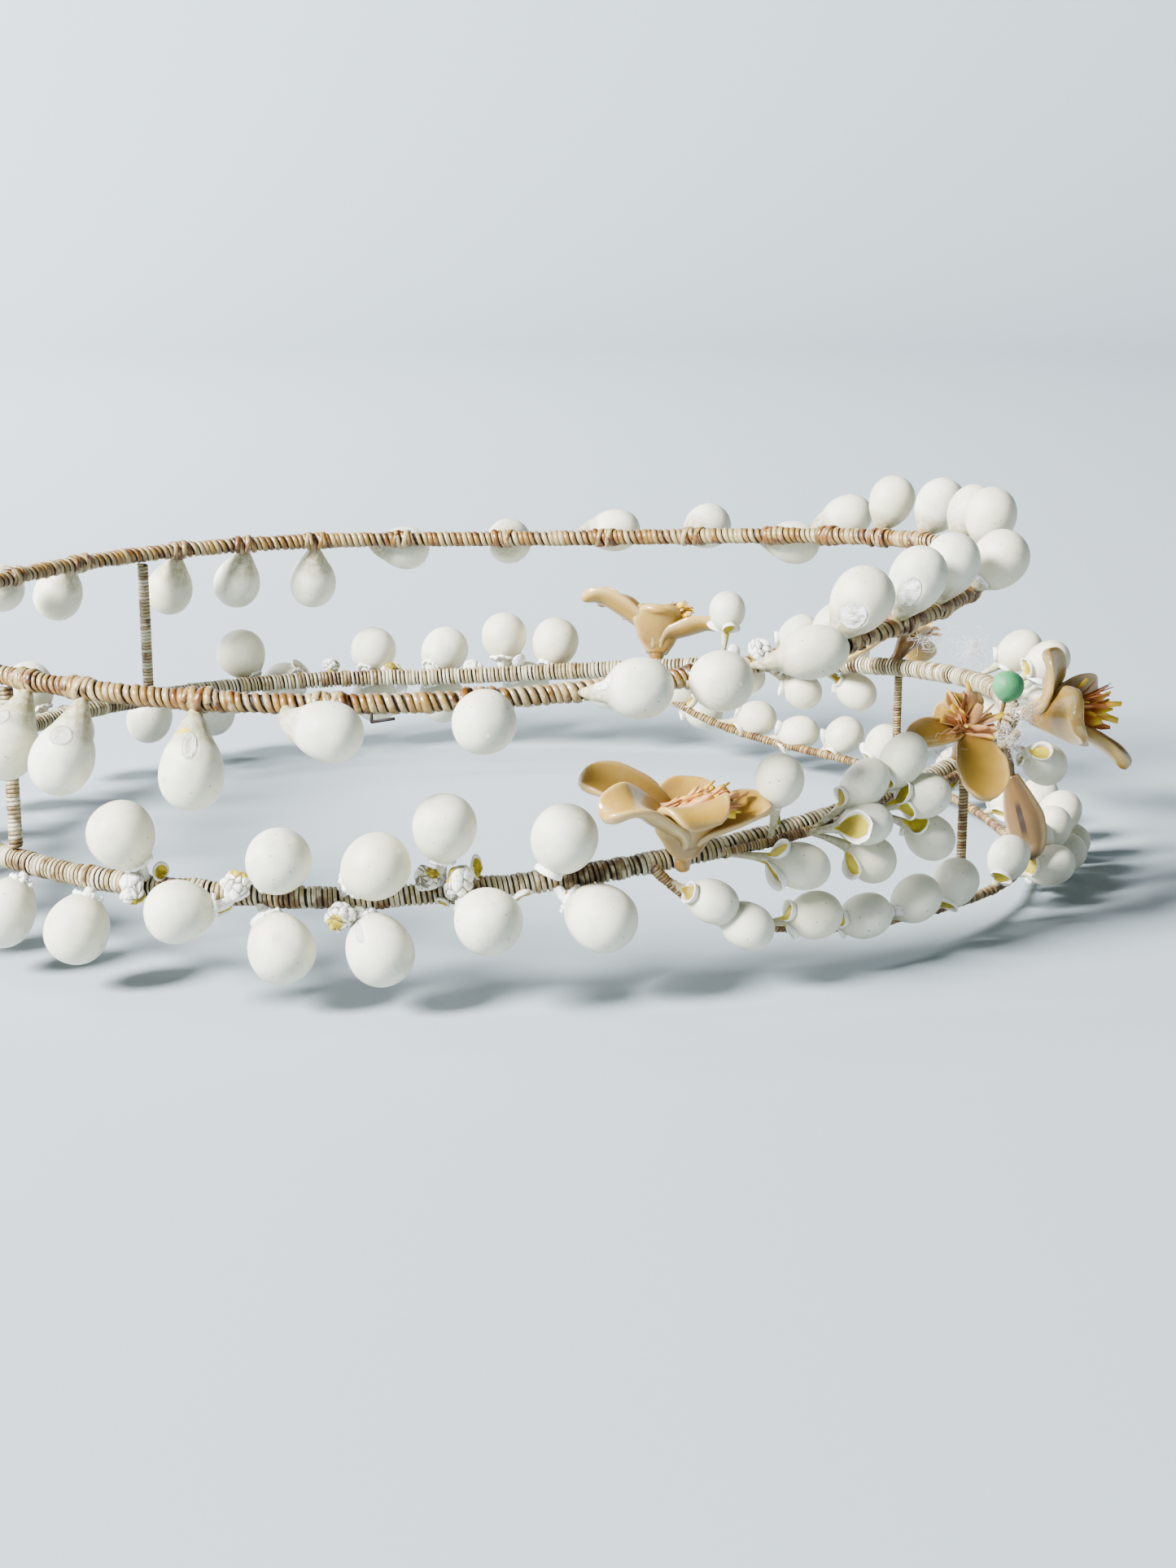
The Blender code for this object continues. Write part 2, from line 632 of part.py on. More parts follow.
def build():
    clear_scene()
    parts = new_collection("wax_flower_headdress")
    helpers = new_collection("joined_shapes")
    root = bpy.data.objects.new("wreath", None)
    parts.objects.link(root)

    straw = material("straw_floss", (0.58, 0.47, 0.33), 0.45)
    thread = material("silk_thread", (0.56, 0.52, 0.42), 0.5)
    white_wax = material("white_wax", (0.84, 0.83, 0.77), 0.45)
    aged_wax = material("aged_wax", (0.72, 0.55, 0.36), 0.35)
    dry_stamen = material("dry_stamens", (0.72, 0.5, 0.28), 0.7)
    green_wax = material("green_wax", (0.34, 0.68, 0.45), 0.4)

    made = [
        (whole_hoop("upper_band", UPPER), straw),
        (whole_hoop("lower_band", LOWER), thread),
        (strut("strut_near", STRUT_TURN), thread),
        (strut("strut_far", -STRUT_TURN), thread),
        (seated_egg("green_bead", LOWER, GREEN_BEAD, GREEN_SIZES), green_wax),
    ]
    made += [(bead, white_wax) for bead in own_beads("upper_bead", UPPER, UPPER_BEADS)]
    made += [(bead, white_wax) for bead in own_beads("lower_bead", LOWER, LOWER_BEADS)]
    for name, settings in GARLANDS.items():
        made.append((garland(name, settings, helpers, root), white_wax))
    made.append((swag(helpers, root), white_wax))
    for side, flower in FLOWERS.items():
        petals, tuft = flower_parts("flower_" + side, flower, helpers, root)
        made += [(petals, aged_wax), (tuft, dry_stamen)]
    made.append((flower_parts("loose_petal", LOOSE_PETAL, helpers, root)[0], aged_wax))

    for piece, surface in made:
        link(piece, parts, surface, root)
    set_on_origin(root, [piece for piece, surface in made])


def set_on_origin(root, pieces):
    """Moves the wreath so that the middle of its underside is the origin."""
    graph = bpy.context.evaluated_depsgraph_get()
    low = Vector((math.inf,) * 3)
    high = Vector((-math.inf,) * 3)
    for piece in pieces:
        evaluated = piece.evaluated_get(graph)
        for vert in evaluated.to_mesh().vertices:
            point = evaluated.matrix_world @ vert.co
            low = Vector(map(min, low, point))
            high = Vector(map(max, high, point))
        evaluated.to_mesh_clear()
    root.location = (-(low.x + high.x) / 2, -(low.y + high.y) / 2, -low.z)


build()
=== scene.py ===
import math
from collections import namedtuple

import bpy
import numpy as np
from bpy.props import FloatProperty, FloatVectorProperty, PointerProperty
from bpy.types import Operator, Panel, PropertyGroup
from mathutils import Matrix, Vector


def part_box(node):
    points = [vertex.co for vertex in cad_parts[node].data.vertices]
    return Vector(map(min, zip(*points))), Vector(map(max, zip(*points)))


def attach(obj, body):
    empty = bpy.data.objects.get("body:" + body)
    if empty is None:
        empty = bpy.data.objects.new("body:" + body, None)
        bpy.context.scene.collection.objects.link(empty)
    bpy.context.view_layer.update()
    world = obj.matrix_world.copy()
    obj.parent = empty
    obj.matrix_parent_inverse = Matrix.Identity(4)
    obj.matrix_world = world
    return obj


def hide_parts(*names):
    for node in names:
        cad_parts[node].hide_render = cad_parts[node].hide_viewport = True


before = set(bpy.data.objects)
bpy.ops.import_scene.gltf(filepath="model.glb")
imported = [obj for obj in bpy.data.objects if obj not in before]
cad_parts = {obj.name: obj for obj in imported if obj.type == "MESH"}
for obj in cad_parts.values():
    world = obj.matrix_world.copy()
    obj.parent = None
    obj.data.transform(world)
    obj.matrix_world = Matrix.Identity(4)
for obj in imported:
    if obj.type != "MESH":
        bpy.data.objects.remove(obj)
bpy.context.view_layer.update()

bl_info = {
    "name": "Wax Blossom Wreath",
    "version": (1, 0, 0),
    "blender": (4, 5, 0),
    "location": "View3D > Sidebar > Wreath",
    "description": "Winds the threads and casts the wax beads, buds and flowers of a bridal wreath",
    "category": "Object",
}

MM = 0.001
UP = np.array((0.0, 0.0, 1.0))
FORWARD_MOST = np.array((0.0, -1.0, 0.0))

# The hoops' plan and heights, to their centre lines, as in the solid parts
HALF_WIDTH = 82 * MM
BACK_REACH = 84 * MM
GAP = 0.3 * MM
BINDING_RADIUS = 1.0 * MM
BINDING_SHARE = 0.9
STRUT_RADIUS = 1.2 * MM
STRUT_TURN = 132
SWAG_TURN = 66
SWAG_HEIGHT = 1.0 * MM
SWAG_DIP = 4 * MM
SWAG_STEEPNESS = 9
SWAG_DIP_SHARPNESS = 8
SWAG_STRUT_TURN = 31
NEIGHBOUR_STEP = math.radians(0.5)
EGG_SHARE = 0.12

Hoop = namedtuple("Hoop", "reach height rise power radius")
UPPER = Hoop(111 * MM, 43.5 * MM, 9 * MM, 2.0, 1.7 * MM)
LOWER = Hoop(116.5 * MM, 12.5 * MM, 13.5 * MM, 1.5, 1.85 * MM)
Place = namedtuple("Place", "point outward forward up")

# Beads and buds. turn is 0 at the front, 180 at the back and negative on the far side.
# around is 0 on the hoop's outer side and 90 above it. swing leans the bead from straight
# off the hoop (0) to along it, forwards (90). The rest are shares of the full sizes.
Bead = namedtuple("Bead", "turn around swing length width neck")
UPPER_BEADS = [
    Bead(128, -62, -5, 1.00, 1.02, 1.1),
    Bead(120, -64, -8, 1.04, 1.00, 1.2),
    Bead(105, -66, 5, 1.07, 1.00, 1.0),
    Bead(91, -23, 70, 0.98, 0.93, 0.0),
    Bead(79, -12, 0, 0.92, 0.97, 0.0),
    Bead(67, 9, 72, 0.98, 0.93, 0.0),
    Bead(60, 4, 10, 0.92, 0.96, 0.0),
    Bead(51, 16, 70, 1.08, 0.84, 0.0),
    Bead(43.5, 66, 30, 1.00, 1.00, 0.0),
    Bead(35, 72, 25, 1.00, 0.94, 0.0),
    Bead(28, 76, 20, 0.96, 0.94, 0.0),
    Bead(20, 48, 10, 0.96, 0.96, 0.0),
    Bead(0, 80, 0, 0.96, 0.94, 0.0),
    Bead(-13.5, 53, 0, 0.94, 0.94, 0.0),
    Bead(-21, 55, 5, 0.98, 0.94, 0.0),
    Bead(-29, 65, 10, 0.92, 0.90, 0.0),
    Bead(-38, 27, 50, 0.96, 0.88, 0.0),
    Bead(-46, -18, 45, 1.00, 0.90, 0.0),
    Bead(-57, 8, 20, 0.94, 0.96, 0.0),
    Bead(-68, 5, 70, 1.00, 0.92, 0.0),
    Bead(-80, -12, 0, 0.94, 0.98, 0.0),
    Bead(-92, -25, 70, 0.98, 0.94, 0.0),
    Bead(-105, -64, 0, 1.04, 1.00, 0.9),
    Bead(-116, -62, -6, 1.00, 1.00, 0.7),
    Bead(-126, -60, 0, 1.02, 0.98, 0.8),
]
UPPER_BACK_BEADS = [
    Bead(140, -60, 0, 1.00, 1.00, 0.8),
    Bead(152, -40, 40, 0.98, 0.96, 0.2),
    Bead(165, -62, 0, 1.04, 1.00, 0.8),
    Bead(178, -20, 10, 0.94, 1.00, 0.2),
    Bead(-169, -62, 0, 1.02, 1.00, 0.8),
    Bead(-156, -42, 40, 0.98, 0.94, 0.2),
    Bead(-143, -60, 0, 1.00, 1.00, 0.8),
]
LOWER_BEADS = [
    Bead(130, -56, -5, 1.04, 0.98, 0.1),
    Bead(119.5, -58, 0, 1.00, 1.04, 0.1),
    Bead(114, 72, -20, 0.97, 1.06, 0.6),
    Bead(106, -8, -60, 0.95, 1.00, 0.0),
    Bead(96.5, 60, 30, 0.93, 1.02, 0.1),
    Bead(96.5, -60, 30, 1.00, 1.04, 0.1),
    Bead(87.5, 52, 45, 1.00, 1.02, 0.0),
    Bead(87.5, -60, 25, 1.03, 1.04, 0.2),
    Bead(82, 76, 8, 0.95, 1.00, 1.4),
    Bead(79.5, -22, 30, 0.95, 1.04, 0.3),
    Bead(73, 62, 15, 1.00, 1.04, 0.1),
    Bead(71, -42, 45, 1.03, 1.06, 0.2),
]
LOWER_FAR_BEADS = [
    Bead(-76, 56, 15, 1.00, 1.02, 0.1),
    Bead(-72, -52, 35, 1.03, 1.04, 0.4),
    Bead(-81, 66, 5, 0.95, 1.00, 0.8),
    Bead(-80, -40, 20, 0.95, 1.04, 0.3),
    Bead(-89, 44, 30, 1.00, 1.02, 0.3),
    Bead(-89, -60, 20, 1.03, 1.04, 0.5),
    Bead(-98, 48, 20, 0.93, 1.02, 0.3),
    Bead(-98, -60, 20, 1.00, 1.04, 0.4),
    Bead(-107, -25, -30, 0.95, 1.00, 0.3),
    Bead(-114, 62, -20, 0.97, 1.04, 0.3),
    Bead(-120, -60, 0, 1.00, 1.04, 0.5),
    Bead(-129, -58, -5, 1.04, 0.98, 0.3),
]
LOWER_BACK_BEADS = [
    Bead(139, -58, 0, 1.02, 1.00, 0.4),
    Bead(143, 54, 10, 0.96, 1.02, 0.3),
    Bead(153, -50, 15, 1.00, 1.04, 0.3),
    Bead(158, 58, 0, 0.98, 1.00, 0.3),
    Bead(168, -58, 0, 1.04, 1.02, 0.4),
    Bead(175, 52, 10, 0.96, 1.02, 0.3),
    Bead(-176, -52, 0, 1.00, 1.04, 0.3),
    Bead(-166, 56, 15, 0.98, 1.00, 0.3),
    Bead(-160, -58, 0, 1.02, 1.02, 0.4),
    Bead(-149, 54, 0, 0.96, 1.02, 0.3),
    Bead(-143, -56, 10, 1.00, 1.00, 0.4),
]
SPRAY_BUDS = [
    Bead(55.5, 76, 5, 0.92, 1.03, 1.2),
    Bead(50.5, 76, 54, 1.00, 0.93, 0.9),
    Bead(51, -70, 50, 0.93, 1.02, 1.2),
    Bead(59, -46, 62, 1.06, 1.00, 1.0),
    Bead(52, -2, 70, 0.96, 0.92, 0.9),
    Bead(45, 76, 38, 1.06, 0.97, 0.8),
    Bead(45.5, 18, 66, 0.96, 0.97, 1.0),
    Bead(44, -68, 50, 0.96, 1.00, 1.2),
    Bead(20, -54, 46, 0.96, 1.00, 1.0),
]
FRONT_FAR_BUDS = [
    Bead(-15, 46, 36, 1.00, 1.00, 0.8),
    Bead(-12, -24, 30, 0.96, 1.00, 0.9),
    Bead(-7, 34, 8, 0.98, 1.00, 0.7),
]
SWAG_BUDS = [
    Bead(64.5, 40, 66, 0.92, 0.94, 0.4),
    Bead(61.5, 8, 62, 0.95, 1.00, 0.4),
    Bead(56, 52, 58, 0.96, 1.03, 0.6),
    Bead(50, 44, 60, 0.96, 0.98, 0.4),
    Bead(42.5, 52, 35, 0.94, 1.03, 0.2),
    Bead(35.5, 66, 25, 0.94, 1.05, 0.1),
    Bead(23, 72, 15, 0.90, 0.95, 0.2),
]
TIP_BUDS = [
    Bead(14, 66, 20, 0.96, 1.00, 0.2),
    Bead(15, 20, 10, 0.96, 0.98, 0.3),
    Bead(9.5, 54, 10, 1.00, 1.00, 0.6),
    Bead(8, 14, 10, 0.98, 1.00, 0.5),
    Bead(3, 46, 5, 1.00, 1.02, 1.0),
    Bead(1, 8, 0, 0.98, 1.00, 0.8),
    Bead(-5, 50, 0, 1.00, 1.00, 0.7),
    Bead(-6.5, 8, 0, 0.96, 1.00, 0.5),
    Bead(-13, 34, 10, 0.96, 0.98, 0.3),
]
GREEN_BEAD = Bead(18.3, 78, 0, 1.0, 1.0, 0.9)


def mirrored(beads):
    """The same beads on the other side of the wreath."""
    return [bead._replace(turn=-bead.turn) for bead in beads]


# Beads or buds along a binding wire, which runs beside its hoop from start to stop.
Garland = namedtuple("Garland", "hoop beads start stop buds")
GARLANDS = {
    "upper_beads_back": Garland(UPPER, UPPER_BACK_BEADS, 138, 219, False),
    "lower_beads_far": Garland(LOWER, LOWER_FAR_BEADS, -71, -130, False),
    "lower_beads_back": Garland(LOWER, LOWER_BACK_BEADS, 137, 219, False),
    "spray_near": Garland(LOWER, SPRAY_BUDS, 60, 17, True),
    "spray_far": Garland(LOWER, mirrored(SPRAY_BUDS) + FRONT_FAR_BUDS, -60, -5, True),
}

# Marks in the wax. along is the angle from the bead's neck (0) to its free end (180), and
# facing turns around it from the hoop's outer side. reach and spread are half sizes.
Mark = namedtuple("Mark", "kind along facing reach spread")


def windows(*rows):
    """Olive windows, where the wax is torn off the painted core."""
    return [Mark("olive", *row) for row in rows]


MARKS = {
    "upper_bead_01": [Mark("scar", 50, -9, 20, 22)],
    "upper_bead_02": [Mark("scar", 58, -18, 19, 27)],
    "upper_bead_03": [Mark("scar", 56, -20, 29, 17), Mark("olive", 26, 12, 9, 30)],
    "upper_bead_06": [Mark("chip", 34, -64, 20, 42)],
    "upper_bead_09": [Mark("chip", 64, -40, 28, 30)],
    "upper_bead_10": [Mark("chip", 64, -56, 31, 26)],
    "upper_bead_12": [Mark("chip", 40, -70, 16, 40)],
    "lower_bead_03": windows((24, 40, 12, 44)),
    "lower_bead_06": windows((22, 30, 14, 46)),
    "lower_bead_08": [Mark("scar", 62, 9, 22, 9)],
    "lower_bead_10": windows((28, 100, 16, 40)),
    "lower_bead_11": windows((34, -30, 22, 46)),
    "lower_bead_12": windows((22, -60, 14, 52)),
    "spray_near_0": windows((32, -16, 8, 16), (34, 150, 20, 40)),
    "spray_near_1": windows((40, -80, 21, 46), (34, 66, 20, 40)),
    "spray_near_2": windows((52, 66, 26, 40), (34, -70, 20, 40)),
    "spray_near_3": windows((46, -60, 22, 40), (44, 56, 32, 40)),
    "spray_near_4": windows((58, -14, 35, 42), (36, 170, 20, 40)),
    "spray_near_5": windows((44, -62, 22, 46), (36, 110, 20, 40)),
    "spray_near_6": windows((40, -64, 30, 42), (46, 20, 18, 44)),
    "spray_near_7": windows((38, -24, 24, 52), (36, 160, 18, 40)),
    "spray_near_8": windows((42, -16, 24, 40), (36, 160, 20, 40)),
    "swag_0": windows((34, -4, 25, 54), (34, 176, 20, 44)),
    "swag_1": windows((34, -9, 17, 32), (34, 150, 20, 44)),
    "swag_2": windows((36, -70, 24, 50), (36, 60, 20, 44)),
    "swag_3": windows((36, -46, 22, 46), (34, 110, 20, 44)),
    "swag_4": [Mark("chip", 50, -45, 16, 24), Mark("olive", 30, -80, 18, 44)],
    "swag_5": windows((46, -20, 20, 44), (34, 140, 20, 44)),
    "swag_6": windows((46, -60, 22, 46), (34, 60, 18, 40)),
    "swag_7": windows((50, -30, 30, 50), (34, 120, 20, 44)),
    "swag_8": windows((54, -100, 24, 46), (34, 60, 20, 44)),
}

# Petals. spin turns around the flower's axis: 0 is forward along the hoop, 90 is above the
# axis. rise lifts a petal towards the axis, and curl bends its tip back. roll folds the rim
# at its tip outward. length and width are shares of the petal's sizes, and thick of its wall.
# A flower's petals leave its foot at start, as a share of the foot's length.
Petal = namedtuple("Petal", "spin rise curl roll length width thick")
Flower = namedtuple("Flower", "turn around lift yaw calyx stamens start petals")
SIDE_PETALS = [
    Petal(-88, 60, -34, 165, 0.92, 1.55, 1.35),
    Petal(0, 4, -15, 20, 1.02, 0.98, 1.2),
    Petal(192, 30, -26, 80, 1.52, 1.12, 1.45),
    Petal(152, 36, 10, 30, 1.46, 1.24, 1.1),
    Petal(68, 52, 0, 25, 0.68, 1.38, 1.0),
]
TEMPLE_PETALS = [
    Petal(-126, -8, 8, 0, 1.0, 1.12, 1.1),
    Petal(168, 12, -10, 5, 1.05, 0.8, 0.8),
    Petal(112, 0, 20, 10, 0.36, 0.95, 0.8),
    Petal(48, 4, 10, 20, 0.46, 0.86, 0.8),
]
# The far one has a long petal that hangs in over the hoop
FAR_TEMPLE_PETALS = [*TEMPLE_PETALS, Petal(90, -70, -14, 4, 1.45, 1.16, 0.8)]
FRONT_PETALS = [
    Petal(96, 26, 15, 25, 0.92, 1.10, 1.1),
    Petal(176, 54, 10, 25, 1.12, 1.36, 1.2),
    Petal(-112, 62, 6, 14, 1.46, 0.92, 1.1),
    Petal(8, 45, 10, 25, 1.00, 1.19, 0.9),
    Petal(-40, 42, 25, 25, 0.92, 1.00, 0.9),
]
LOOSE_PETALS = [Petal(180, 86, 8, 10, 1.19, 0.94, 0.8)]
FLOWERS = {
    "side_near": Flower(63.5, 4, 66, 0, 1.0, 1.0, 0.35, SIDE_PETALS),
    "side_far": Flower(-63.5, 4, 66, 0, 1.0, 1.0, 0.35, SIDE_PETALS),
    "temple_near": Flower(30, 66, 62, -20, 1.3, 0.8, 0.95, TEMPLE_PETALS),
    "temple_far": Flower(-30, 62, 52, 10, 1.0, 0.8, 0.95, FAR_TEMPLE_PETALS),
    "front": Flower(9, 10, 10, -14, 0.6, 1.4, 0.35, FRONT_PETALS),
}
LOOSE_PETAL = Flower(18, -62, -74, 6, 1.1, 0.0, 0.9, LOOSE_PETALS)

# Cracked lumps of plaster left where buds broke off, and open cups torn from necks.
Spot = namedtuple("Spot", "hoop turn around off size")
STUBS = [
    Spot(LOWER, 112.8, 6, 3.6 * MM, 5.0 * MM),
    Spot(LOWER, 101.0, 38, 3.7 * MM, 5.0 * MM),
    Spot(LOWER, 90.3, -32, 3.9 * MM, 4.8 * MM),
    Spot(LOWER, 83.6, 62, 3.6 * MM, 4.4 * MM),
    Spot(LOWER, 81.2, 34, 4.0 * MM, 5.0 * MM),
    Spot(UPPER, 54.6, 52, 3.4 * MM, 4.0 * MM),
    Spot(LOWER, -84.0, 10, 3.8 * MM, 4.8 * MM),
    Spot(LOWER, -94.0, 6, 3.7 * MM, 4.6 * MM),
    Spot(LOWER, -103.0, 40, 3.6 * MM, 4.2 * MM),
    Spot(LOWER, 148.0, 0, 3.7 * MM, 4.6 * MM),
    Spot(LOWER, -171.0, 4, 3.7 * MM, 4.8 * MM),
    Spot(LOWER, -154.0, -4, 3.6 * MM, 4.2 * MM),
]
CUPS = [
    Spot(LOWER, 110.0, 70, 3.0 * MM, 3.2 * MM),
    Spot(LOWER, 102.4, -58, 3.2 * MM, 4.0 * MM),
    Spot(LOWER, 79.0, 78, 3.0 * MM, 4.2 * MM),
    Spot(LOWER, 82.8, -34, 3.6 * MM, 3.0 * MM),
    Spot(LOWER, 76.2, -46, 3.6 * MM, 4.2 * MM),
    Spot(LOWER, 53.6, 62, 4.6 * MM, 3.2 * MM),
    Spot(LOWER, 31.5, -46, 4.4 * MM, 3.4 * MM),
    Spot(LOWER, 26.0, -58, 5.0 * MM, 3.2 * MM),
    Spot(LOWER, -79.0, 70, 3.2 * MM, 4.0 * MM),
    Spot(LOWER, -92.0, -40, 3.4 * MM, 3.6 * MM),
    Spot(LOWER, -53.6, 62, 4.6 * MM, 3.2 * MM),
    Spot(LOWER, 162.0, 20, 3.2 * MM, 3.6 * MM),
]
LINT = [
    Spot(LOWER, 35.5, 66, 8.0 * MM, 5.0 * MM),
    Spot(LOWER, 22.0, 10, 4.5 * MM, 6.0 * MM),
    Spot(LOWER, 14.0, 40, 5.0 * MM, 5.0 * MM),
    Spot(LOWER, -27.0, 60, 8.0 * MM, 7.0 * MM),
    Spot(LOWER, -18.0, 50, 6.0 * MM, 6.0 * MM),
    Spot(LOWER, -38.0, 40, 6.0 * MM, 4.0 * MM),
]

# Seeds, so that each piece keeps its own chance marks
HOOP_SEED = 11
STRUT_SEED = 12
BINDING_SEED = 13
UPPER_BEAD_SEED = 200
LOWER_BEAD_SEED = 250
GREEN_BEAD_SEED = 290
STRUNG_BEAD_SEED = 300
BUD_SEED = 400
FLOWER_SEED = 600
LOOSE_PETAL_SEED = 620
STAMEN_SEED = 640
CRUMB_SEED = 800


def linear(hex_colour):
    """Linear RGB of an sRGB hex colour."""
    parts = [int(hex_colour[at : at + 2], 16) / 255 for at in (1, 3, 5)]
    return [part / 12.92 if part <= 0.04045 else ((part + 0.055) / 1.055) ** 2.4 for part in parts]


def size_property(name, default, description):
    return FloatProperty(
        name=name, default=default, description=description, unit="LENGTH", precision=5
    )


def colour_property(name, default, description):
    return FloatVectorProperty(
        name=name,
        default=linear(default),
        description=description,
        subtype="COLOR",
        size=3,
        min=0.0,
        max=1.0,
    )


class WreathSizes(PropertyGroup):
    """Full sizes of the beads, buds, petals, straws and threads"""

    bead_length: size_property("Bead length", 12 * MM, "Wax bead from end to end")
    bead_width: size_property("Bead width", 10 * MM, "Wax bead across its belly")
    bead_neck: size_property("Bead neck", 2.5 * MM, "Full neck of a hanging bead")
    bud_length: size_property("Bud length", 10.4 * MM, "Wax bud without its neck")
    bud_width: size_property("Bud width", 7.6 * MM, "Wax bud across its belly")
    bud_neck: size_property("Bud neck", 5 * MM, "Full neck of a bud")
    green_width: size_property("Green bead", 5.6 * MM, "Small green bead across")
    petal_length: size_property("Petal length", 13 * MM, "Petal from root to tip")
    petal_width: size_property("Petal width", 8 * MM, "Petal across")
    petal_wall: size_property("Petal wall", 1.7 * MM, "Thickness of the cast wax")
    calyx_length: size_property("Calyx length", 5 * MM, "Wax foot of a flower")
    stamen_length: size_property("Stamen length", 8 * MM, "Longest straw in a flower")
    floss_width: size_property("Floss width", 1.35 * MM, "Flat straw floss of the upper hoop")
    thread_width: size_property("Thread width", 0.85 * MM, "Thread of the lower hoop")
    fine_width: size_property("Fine thread", 0.55 * MM, "Thread of the thin wires")


class WreathColours(PropertyGroup):
    """Colours of the wax, thread, straw, plaster and paper"""

    wax: colour_property("Wax", "#dbd8c2", "Clean white wax")
    wax_warm: colour_property("Warm wax", "#d2c79c", "White wax where it has yellowed")
    wax_shade: colour_property("Wax shade", "#c6c5b0", "White wax where it has greyed")
    wax_neck: colour_property("Wax neck", "#857a4c", "Wax film over the thread of a neck")
    olive: colour_property("Olive", "#8a7600", "Painted core seen through the wax")
    olive_light: colour_property("Light olive", "#c2ae24", "Painted core where it is thin")
    plaster: colour_property("Plaster", "#f6f5ee", "Crumbled white core")
    amber: colour_property("Amber wax", "#a5822f", "Yellowed petal wax")
    # Amber rim is a painted glow of light through thin wax, and deep amber partly painted shade towards
    # the petal roots
    amber_rim_glow: colour_property("Amber rim", "#c9b079", "Petal wax where it is thin")
    amber_deep_and_shade: colour_property("Deep amber", "#704a12", "Petal wax where it is thick")
    brown_wax: colour_property("Brown wax", "#5a4520", "Shrivelled petal")
    floss: colour_property("Floss", "#86682f", "Straw floss where it is clean")
    floss_pale: colour_property("Pale floss", "#a89769", "Straw floss that has kept its silver")
    floss_aged: colour_property("Aged floss", "#5c3309", "Straw floss where it has browned")
    thread: colour_property("Thread", "#9f9064", "Silk thread where it is clean")
    thread_pale: colour_property("Pale thread", "#c9c1a2", "Silk thread that has stayed white")
    thread_aged: colour_property("Aged thread", "#5e4218", "Silk thread where it has browned")
    # Rust: iron wire and its rust stains, and also the painted shade in the gaps between strands of thread
    rust: colour_property("Rust", "#221206", "Iron wire and its rust stains")
    straw: colour_property("Straw", "#cf9f66", "Cut straw of the stamens")
    straw_burnt: colour_property("Burnt straw", "#b05a14", "Stamens that have browned")
    pollen: colour_property("Pollen", "#e0b81e", "Painted tips of the stamens")
    dust: colour_property("Dust", "#817c73", "Dust specks in white wax")
    petal_dust: colour_property("Petal dust", "#615038", "Dust specks in petal wax")
    vein: colour_property("Vein", "#b3ad9e", "Hairline cracks in white wax")
    scar: colour_property("Scar", "#adada6", "Floor of a scar")
    scar_ring: colour_property("Scar ring", "#6f6f65", "Dirt along the edge of a scar")
    chip_edge: colour_property("Chip edge", "#959081", "Dirt along the edge of a chip")
    crack: colour_property("Crack", "#594d38", "Depth of the cracks in plaster")
    iron: colour_property("Iron", "#27211d", "Iron wire where it is darkest")
    mint: colour_property("Mint", "#448f59", "Green bead on its lit side")
    # Deep mint is painted shade on the green bead's lower part, and the tone of its cloudy patches
    mint_cloud_and_shade: colour_property("Deep mint", "#25603a", "Green bead where the wax is thick")
    lint: colour_property("Lint", "#dedbd2", "Loose cotton fibres")
    paper: colour_property("Paper", "#98a3a8", "Floor and backdrop")
    grain: colour_property("Paper grain", "#bcbcbc", "Pale grain of the paper")


def sizes():
    return bpy.context.scene.wreath_sizes


def colour(name):
    """One of the wreath's colours, as a colour socket takes it."""
    return (*getattr(bpy.context.scene.wreath_colours, name), 1.0)


def unit(vectors):
    return vectors / np.linalg.norm(vectors, axis=-1, keepdims=True)


def dots(a, b):
    return np.sum(a * b, axis=-1, keepdims=True)


def smooth(values, start, stop):
    """Soft step from 0 at start to 1 at stop."""
    share = np.clip((values - start) / (stop - start), 0, 1)
    return share * share * (3 - 2 * share)


def wreath_shift():
    """From the wreath's own axes to the frame, read off the upper hoop's box."""
    low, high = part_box("upper_band")
    x = (low.x + high.x) / 2
    y = (low.y + high.y) / 2 + (UPPER.reach - BACK_REACH) / 2
    z = high.z - UPPER.height - UPPER.rise - UPPER.radius
    return x, y, z


def hoop_point(hoop, turn):
    """Centre of a hoop at turns in radians: half ellipses, higher towards the front."""
    ahead = np.cos(turn)
    reach = np.where(ahead > 0, hoop.reach, BACK_REACH)
    height = hoop.height + hoop.rise * np.maximum(ahead, 0.0) ** hoop.power
    return np.stack([-HALF_WIDTH * np.sin(turn), -reach * ahead, height], axis=-1)


def place_on(path, turn):
    """Places on a path, with their directions worked out from close neighbours."""
    turn = np.asarray(turn, float)
    towards = np.where(turn >= 0, -NEIGHBOUR_STEP, NEIGHBOUR_STEP)
    point = path(turn)
    forward = unit(path(turn + towards) - path(turn - towards))
    side = unit(np.cross(forward, UP))
    outward = np.where(dots(side, point) > 0, side, -side)
    above = np.cross(outward, forward)
    return Place(point, outward, forward, np.where(above[..., 2:] > 0, above, -above))


def on_hoop(hoop):
    return lambda turn: hoop_point(hoop, turn)


def beside(hoop):
    """Path of a binding wire along the hoop's outer side."""
    distance = hoop.radius + GAP + BINDING_RADIUS

    def path(turn):
        place = place_on(on_hoop(hoop), turn)
        return place.point + place.outward * distance

    return path


def swag_point(turn):
    """Centre of the swag wire, which drops from the lower hoop's outer side."""
    turn = np.asarray(turn, float)
    point = beside(LOWER)(turn)
    share = np.abs(turn) / math.radians(SWAG_TURN)
    end = hoop_point(LOWER, math.radians(SWAG_TURN))[2]
    dip = SWAG_DIP * np.maximum(np.cos(turn), 0.0) ** SWAG_DIP_SHARPNESS
    point[..., 2] = SWAG_HEIGHT - dip + (end - SWAG_HEIGHT) * share**SWAG_STEEPNESS
    return point


